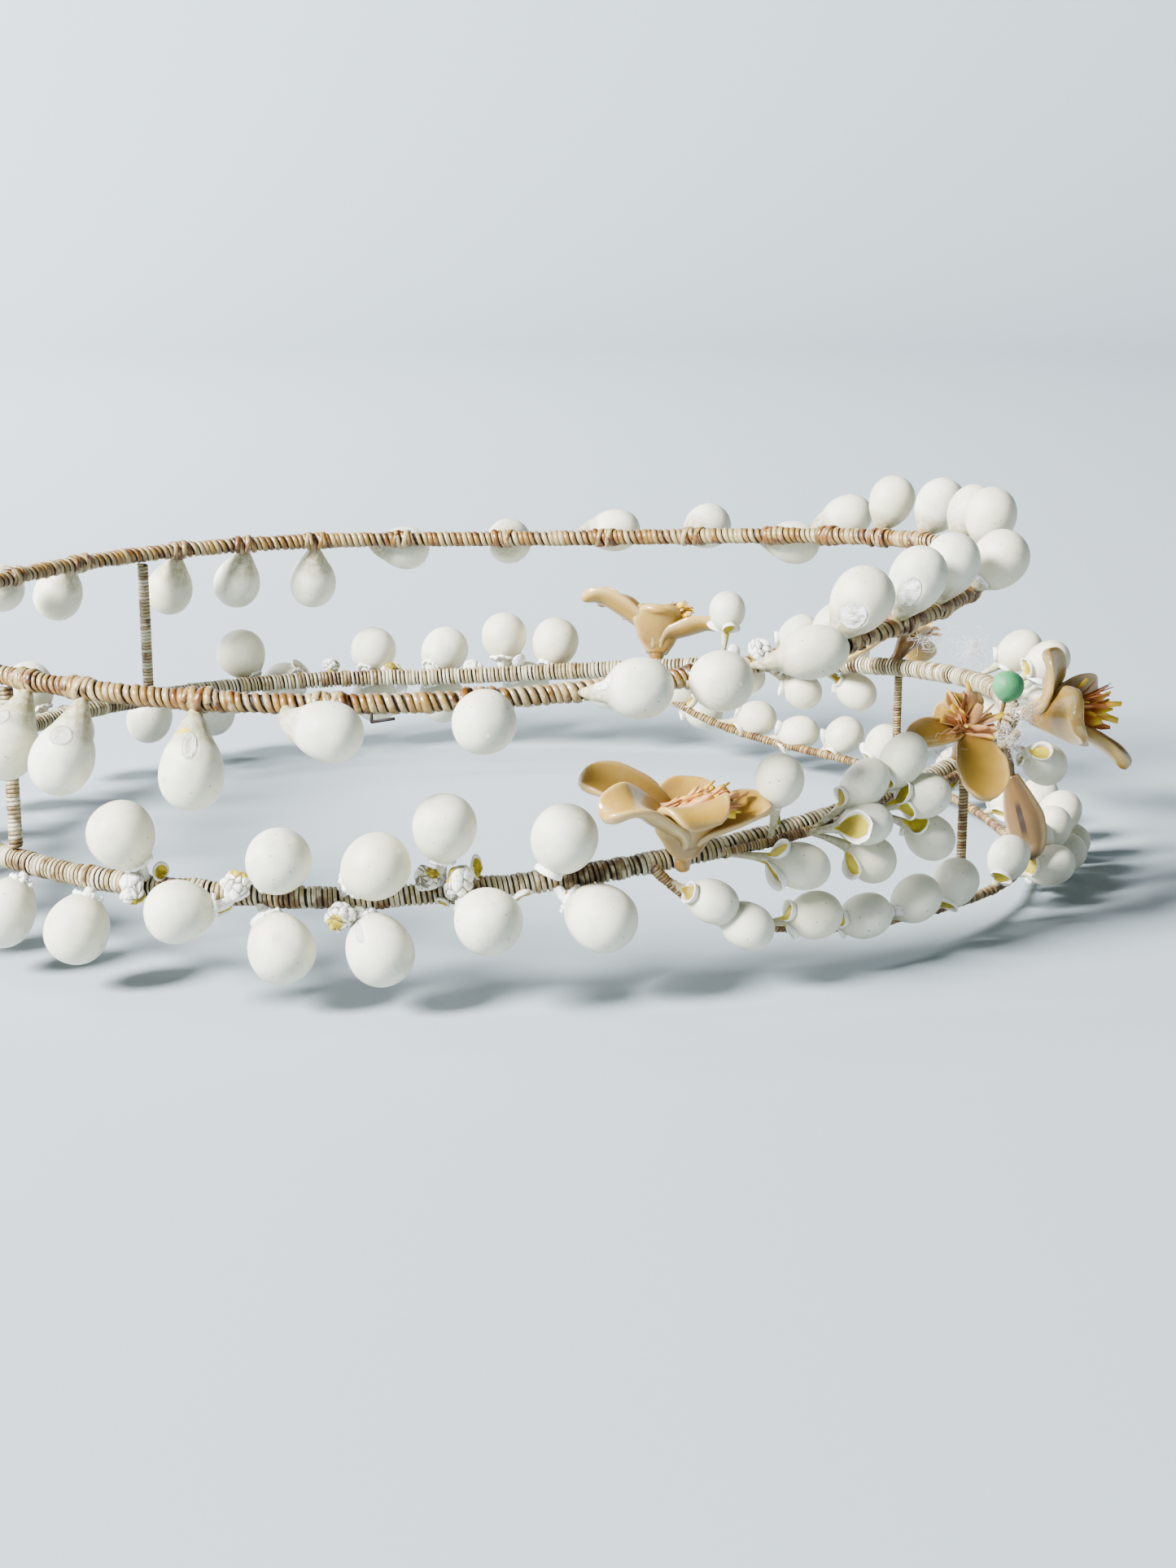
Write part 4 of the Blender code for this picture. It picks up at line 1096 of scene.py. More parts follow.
def stub(shape, spot, rng):
    """Cracked lump of plaster, joined to its hoop by a short foot."""
    place, off = spot_place(spot)
    directions = square_to(unit(off + 0.5 * rng.normal(0, 1, 3)), place.forward)
    polar = np.linspace(0.02, math.pi - 0.02, 40)[:, None]
    turned = np.linspace(0, 2 * math.pi, 50, endpoint=False)[None, :]
    x, y = np.sin(polar) * np.cos(turned), np.sin(polar) * np.sin(turned)
    normal = np.stack([x, y, np.cos(polar) * np.ones_like(turned)], axis=-1)
    middles = unit(rng.normal(0, 1, (STUB_CELLS, 3)))
    gaps = np.sort(1 - normal @ middles.T, axis=-1)
    split = gaps[..., 1] - gaps[..., 0]
    crack = 1 - smooth(split, 0.0, 0.06)
    lumps = sum(0.07 * np.sin(normal @ rng.normal(0, 2.4, 3) + rng.uniform(0, 6)) for _ in range(4))
    pillow = 0.1 * smooth(split, 0.0, 0.12) - 0.05 * crack
    radius = spot.size / 2 * (0.95 + lumps + pillow + rng.normal(0, 0.01, x.shape))
    centre = place.point + off * spot.off
    points = centre + (normal * radius[..., None] * STUB_SQUASH) @ directions
    olive = 0.9 * (1 - smooth(normal @ unit(rng.normal(0, 1, 3)), -0.9, -0.6))
    shape.grid(points, crack=crack, inside=olive, tint=rng.uniform(0, 1))
    root = place.point + off * spot.hoop.radius * 0.6
    spine = root + np.linspace(0, 1, 5)[:, None] * (centre - root)
    shape.grid(rings_along(spine, STUB_FOOT, 8), crack=0.5, inside=0.8, tint=0.5)


def cup(shape, spot, rng):
    """Small open cup torn from a neck: a ragged white shell, olive inside."""
    place, off = spot_place(spot)
    axis = unit(off + 0.55 * place.outward + 0.3 * rng.normal(0, 1, 3))
    turned = np.linspace(0, 2 * math.pi, 30, endpoint=False)
    tall = np.cos((turned - rng.uniform(0, 2 * math.pi)) / 2) ** 2
    opening = math.radians(14) + math.radians(62) * tall + 0.09 * wavy(rng, turned, 6, 1, 6)
    outer = spot.size * CUP_WIDTH
    share = np.concatenate([np.linspace(0.02, 1, CUP_RINGS), np.linspace(0.985, 0.02, CUP_RINGS)])
    is_inside = np.arange(2 * CUP_RINGS) >= CUP_RINGS
    radius = np.where(is_inside, outer - CUP_WALL, outer)[:, None]
    angle = opening * share[:, None]
    ring = np.sin(angle) * np.cos(turned), np.sin(angle) * np.sin(turned), -np.cos(angle)
    local = np.stack(ring, axis=-1) * radius[..., None] * CUP_SQUASH
    centre = place.point + off * (spot.hoop.radius + outer * 0.8)
    painted_olive = (is_inside & (share < 0.85)).astype(float)[:, None]
    points = centre + local @ square_to(axis, place.forward)
    shape.grid(points, crack=0.0, inside=painted_olive, tint=rng.uniform(0, 1))


def lint(shape, spot, rng):
    """Tuft of loose cotton: fine fibres that wander about one place."""
    place, off = spot_place(spot)
    centre = place.point + off * spot.off
    for _ in range(LINT_FIBRES):
        points = [centre + rng.normal(0, spot.size * 0.2, 3)]
        heading = unit(rng.normal(0, 1, 3))
        for _ in range(LINT_BENDS):
            back = (centre - points[-1]) / spot.size * 0.6
            heading = unit(heading + rng.normal(0, 0.45, 3) + back)
            points.append(points[-1] + heading * spot.size * 0.13)
        shape.grid(rings_along(np.array(points), LINT_RADIUS, 3))


# Materials

# How much fine detail a noise holds, and how strong that is against its large features.
SOFT = {"Detail": 3.0, "Roughness": 0.55}
BLOTCHY = {"Detail": 4.0, "Roughness": 0.6}
CRUMBLY = {"Detail": 5.0, "Roughness": 0.7}


def plug(tree, value, socket):
    """Feeds a socket with a value, a node's output or the name of the mesh's point value."""
    if isinstance(value, str):
        value = node(tree, "ShaderNodeAttribute", output="Fac", attribute_name=value)
    if isinstance(value, bpy.types.NodeSocket):
        tree.links.new(value, socket)
    else:
        socket.default_value = value


def node(tree, kind, inputs=None, output=0, **settings):
    """Adds a node with its settings and links, and returns one of its outputs."""
    made = tree.nodes.new(kind)
    for name, value in settings.items():
        setattr(made, name, value)
    for socket, value in (inputs or {}).items():
        plug(tree, value, made.inputs[socket])
    return made.outputs[output]


def cover(tree, *factors):
    """Product of factors. A factor is a value, or a soft step of one: the value, where
    the step starts and stops, and its height before and after, 0 and 1 if not given."""
    product = 1.0
    for factor in factors:
        if isinstance(factor, tuple):
            value, start, stop, *levels = factor
            low, high = levels or (0.0, 1.0)
            inputs = {0: value, 1: start, 2: stop, 3: low, 4: high}
            factor = node(tree, "ShaderNodeMapRange", inputs, interpolation_type="SMOOTHSTEP")
        product = node(tree, "ShaderNodeMath", {0: product, 1: factor}, operation="MULTIPLY")
    return product


def summed(tree, *terms):
    """Sum of values, each times its weight."""
    total = 0.0
    for value, weight in terms:
        inputs = {0: value, 1: weight, 2: total}
        total = node(tree, "ShaderNodeMath", inputs, operation="MULTIPLY_ADD")
    return total


def frayed(tree, value, noise, depth):
    """A value whose edges noise makes ragged."""
    return summed(tree, (value, 1), (cover(tree, (noise, 0.3, 0.7, -depth, depth)), 1))


def painted(tree, ground, *layers):
    """Paints over a ground. A layer is a colour, by name or from a node, and its cover."""
    for paint, hiding in layers:
        under, over = (colour(tone) if isinstance(tone, str) else tone for tone in (ground, paint))
        inputs = {0: hiding, 6: under, 7: over}
        ground = node(tree, "ShaderNodeMix", inputs, 2, data_type="RGBA")
    return ground


def pattern(tree, kind, size, inputs=None, **settings):
    """A texture in the object's own coordinates, whose features are about size across."""
    coords = node(tree, "ShaderNodeTexCoord", output="Object")
    inputs = {"Vector": coords, "Scale": 1 / size, **(inputs or {})}
    return node(tree, kind, inputs, **settings)


def specks(tree, spacing, edge, chance):
    """Cover of dust specks: the step at a speck's edge, and the one that leaves some out."""
    distance = pattern(tree, "ShaderNodeTexVoronoi", spacing)
    own = node(tree, "ShaderNodeSeparateColor", {0: distance.node.outputs["Color"]})
    return cover(tree, (distance, *edge), (own, *chance))


def dipped_wax(tree):
    """Cotton cores dipped in white paraffin wax: a soft glow below a dull skin, with
    dust specks, and olive cores that show where the skin is torn."""
    slow = pattern(tree, "ShaderNodeTexNoise", 5 * MM, SOFT)
    fine = pattern(tree, "ShaderNodeTexNoise", 0.9 * MM, SOFT)
    crumb = pattern(tree, "ShaderNodeTexNoise", 0.45 * MM, CRUMBLY)
    vein = pattern(tree, "ShaderNodeTexVoronoi", 7 * MM, feature="DISTANCE_TO_EDGE")
    window = frayed(tree, "olive", fine, 0.06)
    broken = frayed(tree, "chip", fine, 0.08)
    core_paint = painted(
        tree,
        "olive",
        ("olive_light", cover(tree, (slow, 0.4, 0.62))),
        ("olive_light", cover(tree, (window, 0.82, 0.97))),
    )
    skin = painted(
        tree,
        "wax",
        ("wax_shade", cover(tree, (slow, 0.38, 0.68))),
        ("wax_warm", cover(tree, ("tint", 0.2, 1.0, 0.0, 0.3))),
        ("wax_neck", cover(tree, "film", (fine, 0.3, 0.65, 0.45, 1.0))),
        ("dust", specks(tree, 1.5 * MM, (0.07, 0.15, 0.8, 0), (0.6, 0.66))),
        ("vein", cover(tree, (vein, 0.004, 0.012, 0.5, 0), (slow, 0.52, 0.6))),
        ("scar", cover(tree, ("scar", 0.75, 0.95, 0.6, 0))),
        ("scar_ring", cover(tree, ("scar", 0.8, 0.9), ("scar", 0.96, 1.08, 0.6, 0))),
        ("plaster", cover(tree, (broken, 0.96, 1.0, 1, 0))),
        ("wax_shade", cover(tree, ("chip", 0.8, 0.95, 0.8, 0), (fine, 0.45, 0.6))),
        (core_paint, cover(tree, (window, 0.97, 1.01, 1, 0))),
        ("chip_edge", cover(tree, ("chip", 0.88, 0.98), ("chip", 1.0, 1.06, 0.5, 0))),
        ("plaster", "crust"),
    )
    height = summed(
        tree,
        (cover(tree, crumb, ("chip", 0.96, 1.03, 3.0, 0.22)), 1),
        (cover(tree, crumb, "crust"), 1),
        (cover(tree, fine, ("scar", 0.7, 0.95, 1.5, 0)), 1),
    )
    return {
        "Base Color": skin,
        "Roughness": cover(tree, ("chip", 0.96, 1.03, 0.85, 0.5)),
        "IOR": 1.43,
        "Subsurface Weight": 0.1,
        "Subsurface Radius": (1.0, 0.9, 0.7),
        "Subsurface Scale": 0.9 * MM,
        "Normal": node(tree, "ShaderNodeBump", {"Height": height, "Distance": 0.25 * MM, "Strength": 0.7}),
    }


def cracked_plaster(tree):
    """Chalk and glue cores that dried and split: dead matt white, dark cracks, olive
    paint where the outside is left."""
    fine = pattern(tree, "ShaderNodeTexNoise", 0.8 * MM, SOFT)
    crumb = pattern(tree, "ShaderNodeTexNoise", 0.3 * MM, CRUMBLY)
    inside = frayed(tree, "inside", fine, 0.15)
    split = frayed(tree, "crack", crumb, 0.12)
    outside = painted(tree, "olive", ("olive_light", cover(tree, (fine, 0.42, 0.6))))
    chalk = painted(
        tree,
        "plaster",
        ("wax_shade", cover(tree, (crumb, 0.4, 0.7, 0, 0.7))),
        ("wax_neck", cover(tree, (fine, 0.45, 0.7, 0, 0.45))),
        (outside, cover(tree, (inside, 0.45, 0.6))),
        ("crack", cover(tree, (split, 0.45, 0.85, 0, 0.9))),
    )
    return {
        "Base Color": chalk,
        "Roughness": 0.85,
        "IOR": 1.5,
        "Normal": node(tree, "ShaderNodeBump", {"Height": crumb, "Distance": 0.3 * MM, "Strength": 0.8}),
    }


def cast_wax(tree, clean, gloss, weight, slit):
    """Beeswax cast in thick petals and yellowed by age: light goes deep into it and
    comes out amber, below a satin skin. slit is how dark a split down the middle is."""
    slow = pattern(tree, "ShaderNodeTexNoise", 6 * MM, SOFT)
    fine = pattern(tree, "ShaderNodeTexNoise", 0.7 * MM, SOFT)
    middle = ("across", 0.11, 0.2, slit, 0)
    wax = painted(
        tree,
        clean,
        # Painted shade: deeper amber over each petal towards its root, inside the flower, partly the
        # thicker wax there
        ("amber_deep_and_shade", cover(tree, ("along", 0.0, 0.8, 1.0, 0.15), (slow, 0.3, 0.65, 0.35, 1.0))),
        # Painted glow: paler rims at the petal's sides, as if light shone through the thin wax
        ("amber_rim_glow", cover(tree, ("across", 0.7, 0.98, 0.0, 0.4))),
        ("petal_dust", specks(tree, 1.9 * MM, (0.04, 0.1, 0.7, 0), (0.7, 0.75))),
        ("rust", cover(tree, middle, ("along", 0.25, 0.4), ("along", 0.62, 0.8, 1, 0))),
    )
    height = summed(tree, (fine, 0.3), (slow, 1))
    return {
        "Base Color": wax,
        "Roughness": cover(tree, (slow, 0.3, 0.7, gloss, gloss + 0.12)),
        "IOR": 1.45,
        "Subsurface Weight": weight,
        "Subsurface Radius": (1.0, 0.75, 0.38),
        "Subsurface Scale": 1.2 * MM,
        "Coat Weight": 0.5,
        "Coat Roughness": 0.14,
        "Normal": node(tree, "ShaderNodeBump", {"Height": height, "Distance": 0.4 * MM, "Strength": 0.35}),
    }


# Fibres of thread: how many there are across a strand, along one turn, and how far
# one strand's fibres are from another's. They are coarser than real ones, to show.
FIBRE_SCALE = (7.0, 1.2, 31.0)


def wound_thread(tree, clean, gloss, stain):
    """Flat floss wound under tension: fine fibres along each strand that catch the light,
    brown with age in patches, rust where the iron shows through, and painted shade at
    the inner side and edges of each strand, in the gaps between strands."""
    lying = node(tree, "ShaderNodeCombineXYZ", {0: "across", 1: "along", 2: "tint"})
    drawn = node(tree, "ShaderNodeVectorMath", {0: lying, 1: FIBRE_SCALE}, operation="MULTIPLY")
    inputs = {"Vector": drawn, "Scale": 1.0, "Detail": 3.0}
    fibres = node(tree, "ShaderNodeTexNoise", inputs, "Fac")
    blotch = pattern(tree, "ShaderNodeTexNoise", 2.6 * MM, BLOTCHY)
    patches = cover(tree, (blotch, 0.35, 0.65, -0.25, 0.25))
    old = summed(tree, ("age", 0.55), ("tint", 0.35), (patches, 1))
    rusty = summed(tree, (blotch, 1), ("age", 0.12))
    thread = painted(
        tree,
        clean,
        (f"{clean}_pale", cover(tree, ("tint", 0.2, 0.65, 0.85, 0.0))),
        (f"{clean}_aged", cover(tree, (fibres, 0.4, 0.72, 0.0, 0.55))),
        (f"{clean}_aged", cover(tree, (old, 0.4, 0.85, 0.0, 0.95))),
        ("rust", cover(tree, (rusty, 0.66, 0.76, 0.0, stain))),
        # Painted shade: each strand darkens towards its inner side and edges, in the rust colour, so that
        # the gaps between strands look deep
        ("rust", cover(tree, ("across", 0.52, 0.74, 0.85, 0.0))),
    )
    return {
        "Base Color": thread,
        "Roughness": cover(tree, (fibres, 0.3, 0.7, gloss, gloss + 0.2)),
        "IOR": 1.54,
        "Normal": node(tree, "ShaderNodeBump", {"Height": fibres, "Distance": 0.12 * MM, "Strength": 0.6}),
    }


def drawn_iron(tree):
    """Soft iron wire, drawn and since rusted: brown-black and nearly matt."""
    blotch = pattern(tree, "ShaderNodeTexNoise", 0.9 * MM, SOFT)
    return {
        "Base Color": painted(tree, "rust", ("iron", cover(tree, (blotch, 0.4, 0.7)))),
        "Roughness": 0.7,
        "Metallic": 0.2,
    }


def cut_straw(tree):
    """Split straw, dyed and cut for stamens: dry, pale peach to burnt orange, with
    yellow paint on the tips."""
    fine = pattern(tree, "ShaderNodeTexNoise", 0.7 * MM, SOFT)
    straw = painted(
        tree,
        "straw",
        ("straw_burnt", "tint"),
        ("straw_burnt", cover(tree, (fine, 0.45, 0.75, 0, 0.45))),
        ("pollen", cover(tree, ("tip", 0.25, 0.6))),
    )
    return {
        "Base Color": straw,
        "Roughness": 0.6,
        "Subsurface Weight": 0.15,
        "Subsurface Scale": 0.5 * MM,
        "Normal": node(tree, "ShaderNodeBump", {"Height": fine, "Distance": 0.15 * MM, "Strength": 0.5}),
    }


def mint_wax(tree):
    """A bead dipped in green-tinted wax: matt and cloudy, with painted shade below."""
    slow = pattern(tree, "ShaderNodeTexNoise", 2.5 * MM, SOFT)
    fine = pattern(tree, "ShaderNodeTexNoise", 0.5 * MM, SOFT)
    wax = painted(
        tree,
        "mint",
        # Painted shade: deeper green over the lower part, near the neck, where the bead sits on the hoop
        ("mint_cloud_and_shade", cover(tree, ("film", 0.0, 0.5, 0.15, 0.9))),
        ("mint_cloud_and_shade", cover(tree, (slow, 0.45, 0.75, 0, 0.5))),
        ("thread_aged", cover(tree, ("film", 0.56, 0.6))),
    )
    return {
        "Base Color": wax,
        "Roughness": 0.55,
        "IOR": 1.43,
        "Subsurface Weight": 0.2,
        "Subsurface Scale": 1.0 * MM,
        "Normal": node(tree, "ShaderNodeBump", {"Height": fine, "Distance": 0.1 * MM, "Strength": 0.4}),
    }


def carded_cotton(tree):
    """Loose cotton fibres: white and soft, with a faint sheen at their edges."""
    blotch = pattern(tree, "ShaderNodeTexNoise", 2 * MM, SOFT)
    return {
        "Base Color": painted(tree, "lint", ("wax_neck", cover(tree, (blotch, 0.4, 0.7, 0, 0.4)))),
        "Roughness": 0.9,
        "Sheen Weight": 0.3,
    }


def matt_paper(tree):
    """Wide studio paper: even, pale and without gloss."""
    grain = pattern(tree, "ShaderNodeTexNoise", 1.2 * MM, SOFT)
    return {
        "Base Color": painted(tree, "paper", ("grain", cover(tree, (grain, 0.3, 0.8, 0, 0.06)))),
        "Roughness": 0.95,
    }


# Each material's recipe, and what the recipe is told: for thread its colour, gloss and
# stains of rust, for cast wax its colour, gloss, depth of light and slit.
MATERIALS = {
    "straw_floss_wound": (wound_thread, "floss", 0.22, 0.7),
    "silk_thread_wound": (wound_thread, "thread", 0.36, 0.5),
    "fine_thread_wound": (wound_thread, "floss", 0.42, 0.4),
    "iron_wire_rusted": (drawn_iron,),
    "paraffin_wax_dipped": (dipped_wax,),
    "green_wax_dipped": (mint_wax,),
    "chalk_plaster_cracked": (cracked_plaster,),
    "beeswax_cast_amber": (cast_wax, "amber", 0.3, 0.6, 0.0),
    "beeswax_cast_shrivelled": (cast_wax, "brown_wax", 0.5, 0.4, 1.0),
    "straw_split_dyed": (cut_straw,),
    "cotton_carded": (carded_cotton,),
    "studio_paper_matt": (matt_paper,),
}


def material(name):
    """The material of that name, made the first time that it is asked for."""
    made = bpy.data.materials.get(name)
    if made is None:
        made = bpy.data.materials.new(name)
        made.use_nodes = True
        tree = made.node_tree
        shader = tree.nodes["Principled BSDF"]
        recipe, *told = MATERIALS[name]
        for socket, value in recipe(tree, *told).items():
            plug(tree, value, shader.inputs[socket])
    return made


# Operators

class WREATH_OT_wind_hoops(Operator):
    """Winds straw floss round the upper hoop and thread round the lower one"""

    bl_idname = "wreath.wind_hoops"
    bl_label = "Wind hoops"

    def execute(self, context):
        own = sizes()
        rng = np.random.default_rng(HOOP_SEED)
        whole = (-math.pi, math.pi)
        upper, lower, wires = Shape(), Shape(), Shape()
        wide, narrow = own.floss_width, own.thread_width
        floss = Winding(UPPER.radius, wide, wide * 0.9, FLOSS_THICKNESS, 2, 15, 6, 0.45)
        thread = Winding(LOWER.radius, narrow, narrow * 0.86, THREAD_THICKNESS, 1, 12, 6, 0.45)
        tie = floss._replace(radius=UPPER.radius + KNOT_LIFT, pitch=wide * 1.9, starts=1, age=0.8)
        knots = bead_turns(UPPER_BEADS + UPPER_BACK_BEADS)
        wind(upper, on_hoop(UPPER), *whole, floss, rng, knots)
        wind(lower, on_hoop(LOWER), *whole, thread, rng, bead_turns(LOWER_BEADS))
        half = KNOT_HALF / HALF_WIDTH
        for knot in knots:
            for way in (half, -half):
                wind(upper, on_hoop(UPPER), knot + way, knot - way, tie, rng)
        self.wire_end(wires)
        for hoop in (UPPER, LOWER):
            core(wires, on_hoop(hoop), *whole, hoop.radius, 300)
        upper.make("upper_hoop_floss", "straw_floss_wound", "straw_floss", "upper_band")
        lower.make("lower_hoop_thread", "silk_thread_wound", "silk_thread", "lower_band")
        wires.make("hoop_wires", "iron_wire_rusted", "silk_thread")
        return {"FINISHED"}

    def wire_end(self, wires):
        """The cut end of a tie wire, which hooks out below the upper hoop."""
        place = place_on(on_hoop(UPPER), math.radians(WIRE_END_TURN))
        edge = place.point + (place.outward - place.up) * UPPER.radius * 0.6
        corner = edge + place.outward * 0.4 * MM - place.up * 1.5 * MM
        tip = corner + place.forward * WIRE_END_LENGTH + place.up * 0.5 * MM
        halves = bezier(edge, corner, corner, 6)[:-1], bezier(corner, corner, tip, 6)
        wires.grid(rings_along(np.concatenate(halves), WIRE_END_RADIUS, 8, UP))


class WREATH_OT_wind_struts(Operator):
    """Winds thread round the two standing wires between the hoops"""

    bl_idname = "wreath.wind_struts"
    bl_label = "Wind struts"

    def execute(self, context):
        rng = np.random.default_rng(STRUT_SEED)
        pitch = sizes().fine_width * 1.3
        fine = Winding(STRUT_RADIUS, pitch, pitch, FINE_THICKNESS, 1, 10, 6, 0.5)
        for side, turn in (("near", STRUT_TURN), ("far", -STRUT_TURN)):
            shape = Shape()
            path = strut_path(turn)
            wind_upright(shape, path, fine, rng)
            core(shape, path, 0, 1, STRUT_RADIUS, 12)
            shape.make(f"strut_{side}_thread", "silk_thread_wound", "silk_thread", f"strut_{side}")
        return {"FINISHED"}


class WREATH_OT_wind_binding_wires(Operator):
    """Winds fine thread round the swag and the wires that carry beads and buds"""

    bl_idname = "wreath.wind_binding_wires"
    bl_label = "Wind binding wires"

    def execute(self, context):
        rng = np.random.default_rng(BINDING_SEED)
        shape = Shape()
        pitch, radius = sizes().fine_width, BINDING_RADIUS * BINDING_SHARE
        fine = Winding(radius, pitch, pitch * 0.95, FINE_THICKNESS, 1, 8, 5, 0.5)
        runs = [(swag_point, SWAG_TURN, -SWAG_TURN, 160)]
        for garland in GARLANDS.values():
            runs.append((beside(garland.hoop), garland.start, garland.stop, 90))
        for path, start, stop, count in runs:
            ends = math.radians(start), math.radians(stop)
            wind(shape, path, *ends, fine, rng)
            core(shape, path, *ends, radius, count)
        for turn in (SWAG_STRUT_TURN, -SWAG_STRUT_TURN):
            path = swag_strut_path(turn)
            wind_upright(shape, path, fine, rng)
            core(shape, path, 0, 1, radius, 8)
        shape.make("binding_wire_thread", "fine_thread_wound", "silk_thread")
        return {"FINISHED"}


class WREATH_OT_cast_beads(Operator):
    """Casts the large wax beads of both hoops"""

    bl_idname = "wreath.cast_beads"
    bl_label = "Cast beads"

    def execute(self, context):
        for prefix, hoop, beads, seed in (
            ("upper", UPPER, UPPER_BEADS, UPPER_BEAD_SEED),
            ("lower", LOWER, LOWER_BEADS, LOWER_BEAD_SEED),
        ):
            for number, bead in enumerate(beads, start=1):
                name = f"{prefix}_bead_{number:02d}"
                rng = np.random.default_rng(seed + number)
                look = DRAWN_LOOK if name in DRAWN_BEADS else BEAD_LOOKS[hoop]
                drop = seated_drop(hoop, bead, *full_size("bead", bead), look, rng)
                self.cast(name, hoop, [(drop, MARKS.get(name, []))], rng)
        for offset, (name, garland) in enumerate(GARLANDS.items()):
            if not garland.buds:
                rng = np.random.default_rng(STRUNG_BEAD_SEED + offset)
                self.cast(name, garland.hoop, self.strung(garland, rng), rng)
        return {"FINISHED"}

    def strung(self, garland, rng):
        """The garland's beads one by one, some of the lower ones with an olive window."""
        hoop, path = garland.hoop, beside(garland.hoop)
        for bead in garland.beads:
            drop = bound_drop(path, bead, *full_size("bead", bead), BEAD_LOOKS[hoop], rng, hoop)
            torn = hoop is LOWER and rng.uniform() < 0.5
            yield drop, chance_marks(rng, 1) if torn else []

    def cast(self, name, hoop, drops, rng):
        """One piece of these beads. The lower hoop's wax is broken off around their necks."""
        shape = Shape()
        for drop, marks in drops:
            drop.build(shape, marks + ([NECK_CHIP] if hoop is LOWER else []), rng)
            if hoop is LOWER:
                drop.collar(shape, rng.uniform(27, 35), rng)
        shape.make(f"{name}_wax", "paraffin_wax_dipped", "white_wax", name)


class WREATH_OT_cast_buds(Operator):
    """Casts the small wax buds of the sprays and the swag, with their torn windows"""

    bl_idname = "wreath.cast_buds"
    bl_label = "Cast buds"

    def execute(self, context):
        rows = [
            (name, garland.beads, beside(LOWER), LOWER)
            for name, garland in GARLANDS.items()
            if garland.buds
        ]
        rows.append(("swag", SWAG_BUDS + TIP_BUDS + mirrored(SWAG_BUDS), swag_point, None))
        for offset, (name, buds, path, keep_off) in enumerate(rows):
            rng = np.random.default_rng(BUD_SEED + offset)
            shape = Shape()
            for number, bud in enumerate(buds):
                drop = bound_drop(path, bud, *full_size("bud", bud), BUD_LOOK, rng, keep_off)
                drop.build(shape, MARKS.get(f"{name}_{number}", chance_marks(rng)), rng)
            shape.make(f"{name}_wax", "paraffin_wax_dipped", "white_wax", name)
        return {"FINISHED"}


class WREATH_OT_cast_flowers(Operator):
    """Casts the petals of the five flowers and the loose petal"""

    bl_idname = "wreath.cast_flowers"
    bl_label = "Cast flowers"

    def execute(self, context):
        for offset, (side, flower) in enumerate(FLOWERS.items()):
            rng = np.random.default_rng(FLOWER_SEED + offset)
            self.cast(f"flower_{side}", flower, rng, "beeswax_cast_amber", 0.0)
        rng = np.random.default_rng(LOOSE_PETAL_SEED)
        self.cast("loose_petal", LOOSE_PETAL, rng, "beeswax_cast_shrivelled", 0.1 * MM)
        return {"FINISHED"}

    def cast(self, name, flower, rng, surface, wrinkle):
        """One piece of a flower's petals and its foot."""
        shape = Shape()
        for row in flower.petals:
            petal(shape, flower, row, rng, wrinkle)
        calyx(shape, flower, rng)
        shape.make(f"{name}_wax", surface, "aged_wax", name)


class WREATH_OT_cut_stamens(Operator):
    """Cuts the straw stamens of each flower"""

    bl_idname = "wreath.cut_stamens"
    bl_label = "Cut stamens"

    def execute(self, context):
        for offset, (side, flower) in enumerate(FLOWERS.items()):
            rng = np.random.default_rng(STAMEN_SEED + offset)
            shape = Shape()
            kind = side.split("_")[0]
            tuft(shape, flower, TUFTS[kind], rng)
            if kind == "side":
                straw_tube(shape, flower, rng)
            shape.make(f"stamens_{side}_straw", "straw_split_dyed", "dry_stamens", f"stamens_{side}")
        return {"FINISHED"}


class WREATH_OT_dip_green_bead(Operator):
    """Dips the small green bead"""

    bl_idname = "wreath.dip_green_bead"
    bl_label = "Dip green bead"

    def execute(self, context):
        own = sizes()
        rng = np.random.default_rng(GREEN_BEAD_SEED)
        shape = Shape()
        full = own.green_width, own.green_width, own.bud_neck * GREEN_BEAD.neck
        drop = seated_drop(LOWER, GREEN_BEAD, *full, GREEN_LOOK, rng)
        drop.build(shape, [], rng)
        shape.make("green_bead_wax", "green_wax_dipped", "green_wax", "green_bead")
        return {"FINISHED"}


class WREATH_OT_break_crumbs(Operator):
    """Breaks the plaster stubs and the torn cups, and leaves the cotton lint"""

    bl_idname = "wreath.break_crumbs"
    bl_label = "Break crumbs"

    def execute(self, context):
        rng = np.random.default_rng(CRUMB_SEED)
        for name, spots, build, surface in (
            ("plaster_stubs", STUBS, stub, "chalk_plaster_cracked"),
            ("torn_cups", CUPS, cup, "chalk_plaster_cracked"),
            ("cotton_lint", LINT, lint, "cotton_carded"),
        ):
            shape = Shape()
            for spot in spots:
                build(shape, spot, rng)
            shape.make(name, surface, "white_wax")
        return {"FINISHED"}


# Stage

CAMERA_SPOT = (-437 * MM, -38 * MM, 124 * MM)
CAMERA_PITCH = 14.7
CAMERA_LENS = 54.55
BOWL_RADIUS = 1.9
BOWL_HEIGHT = 0.85
BOWL_CORNER = 0.6
BOWL_STEPS = 96
ROOM_LIGHT = 0.05
ROOM_COLOUR = "#e3eaee"

# Soft lights: where each stands, the spot it points at, its size, power and colour.
Lamp = namedtuple("Lamp", "name spot aim size power colour")
LAMPS = [
    Lamp("window", (-0.72, 1.15, 0.95), (0, 0, 0.03), 0.5, 200, "#fafbff"),
    Lamp("wash", (0.4, 1.0, 1.2), (1.8, 1.1, 0.4), 0.8, 170, "#f6f9ff"),
]


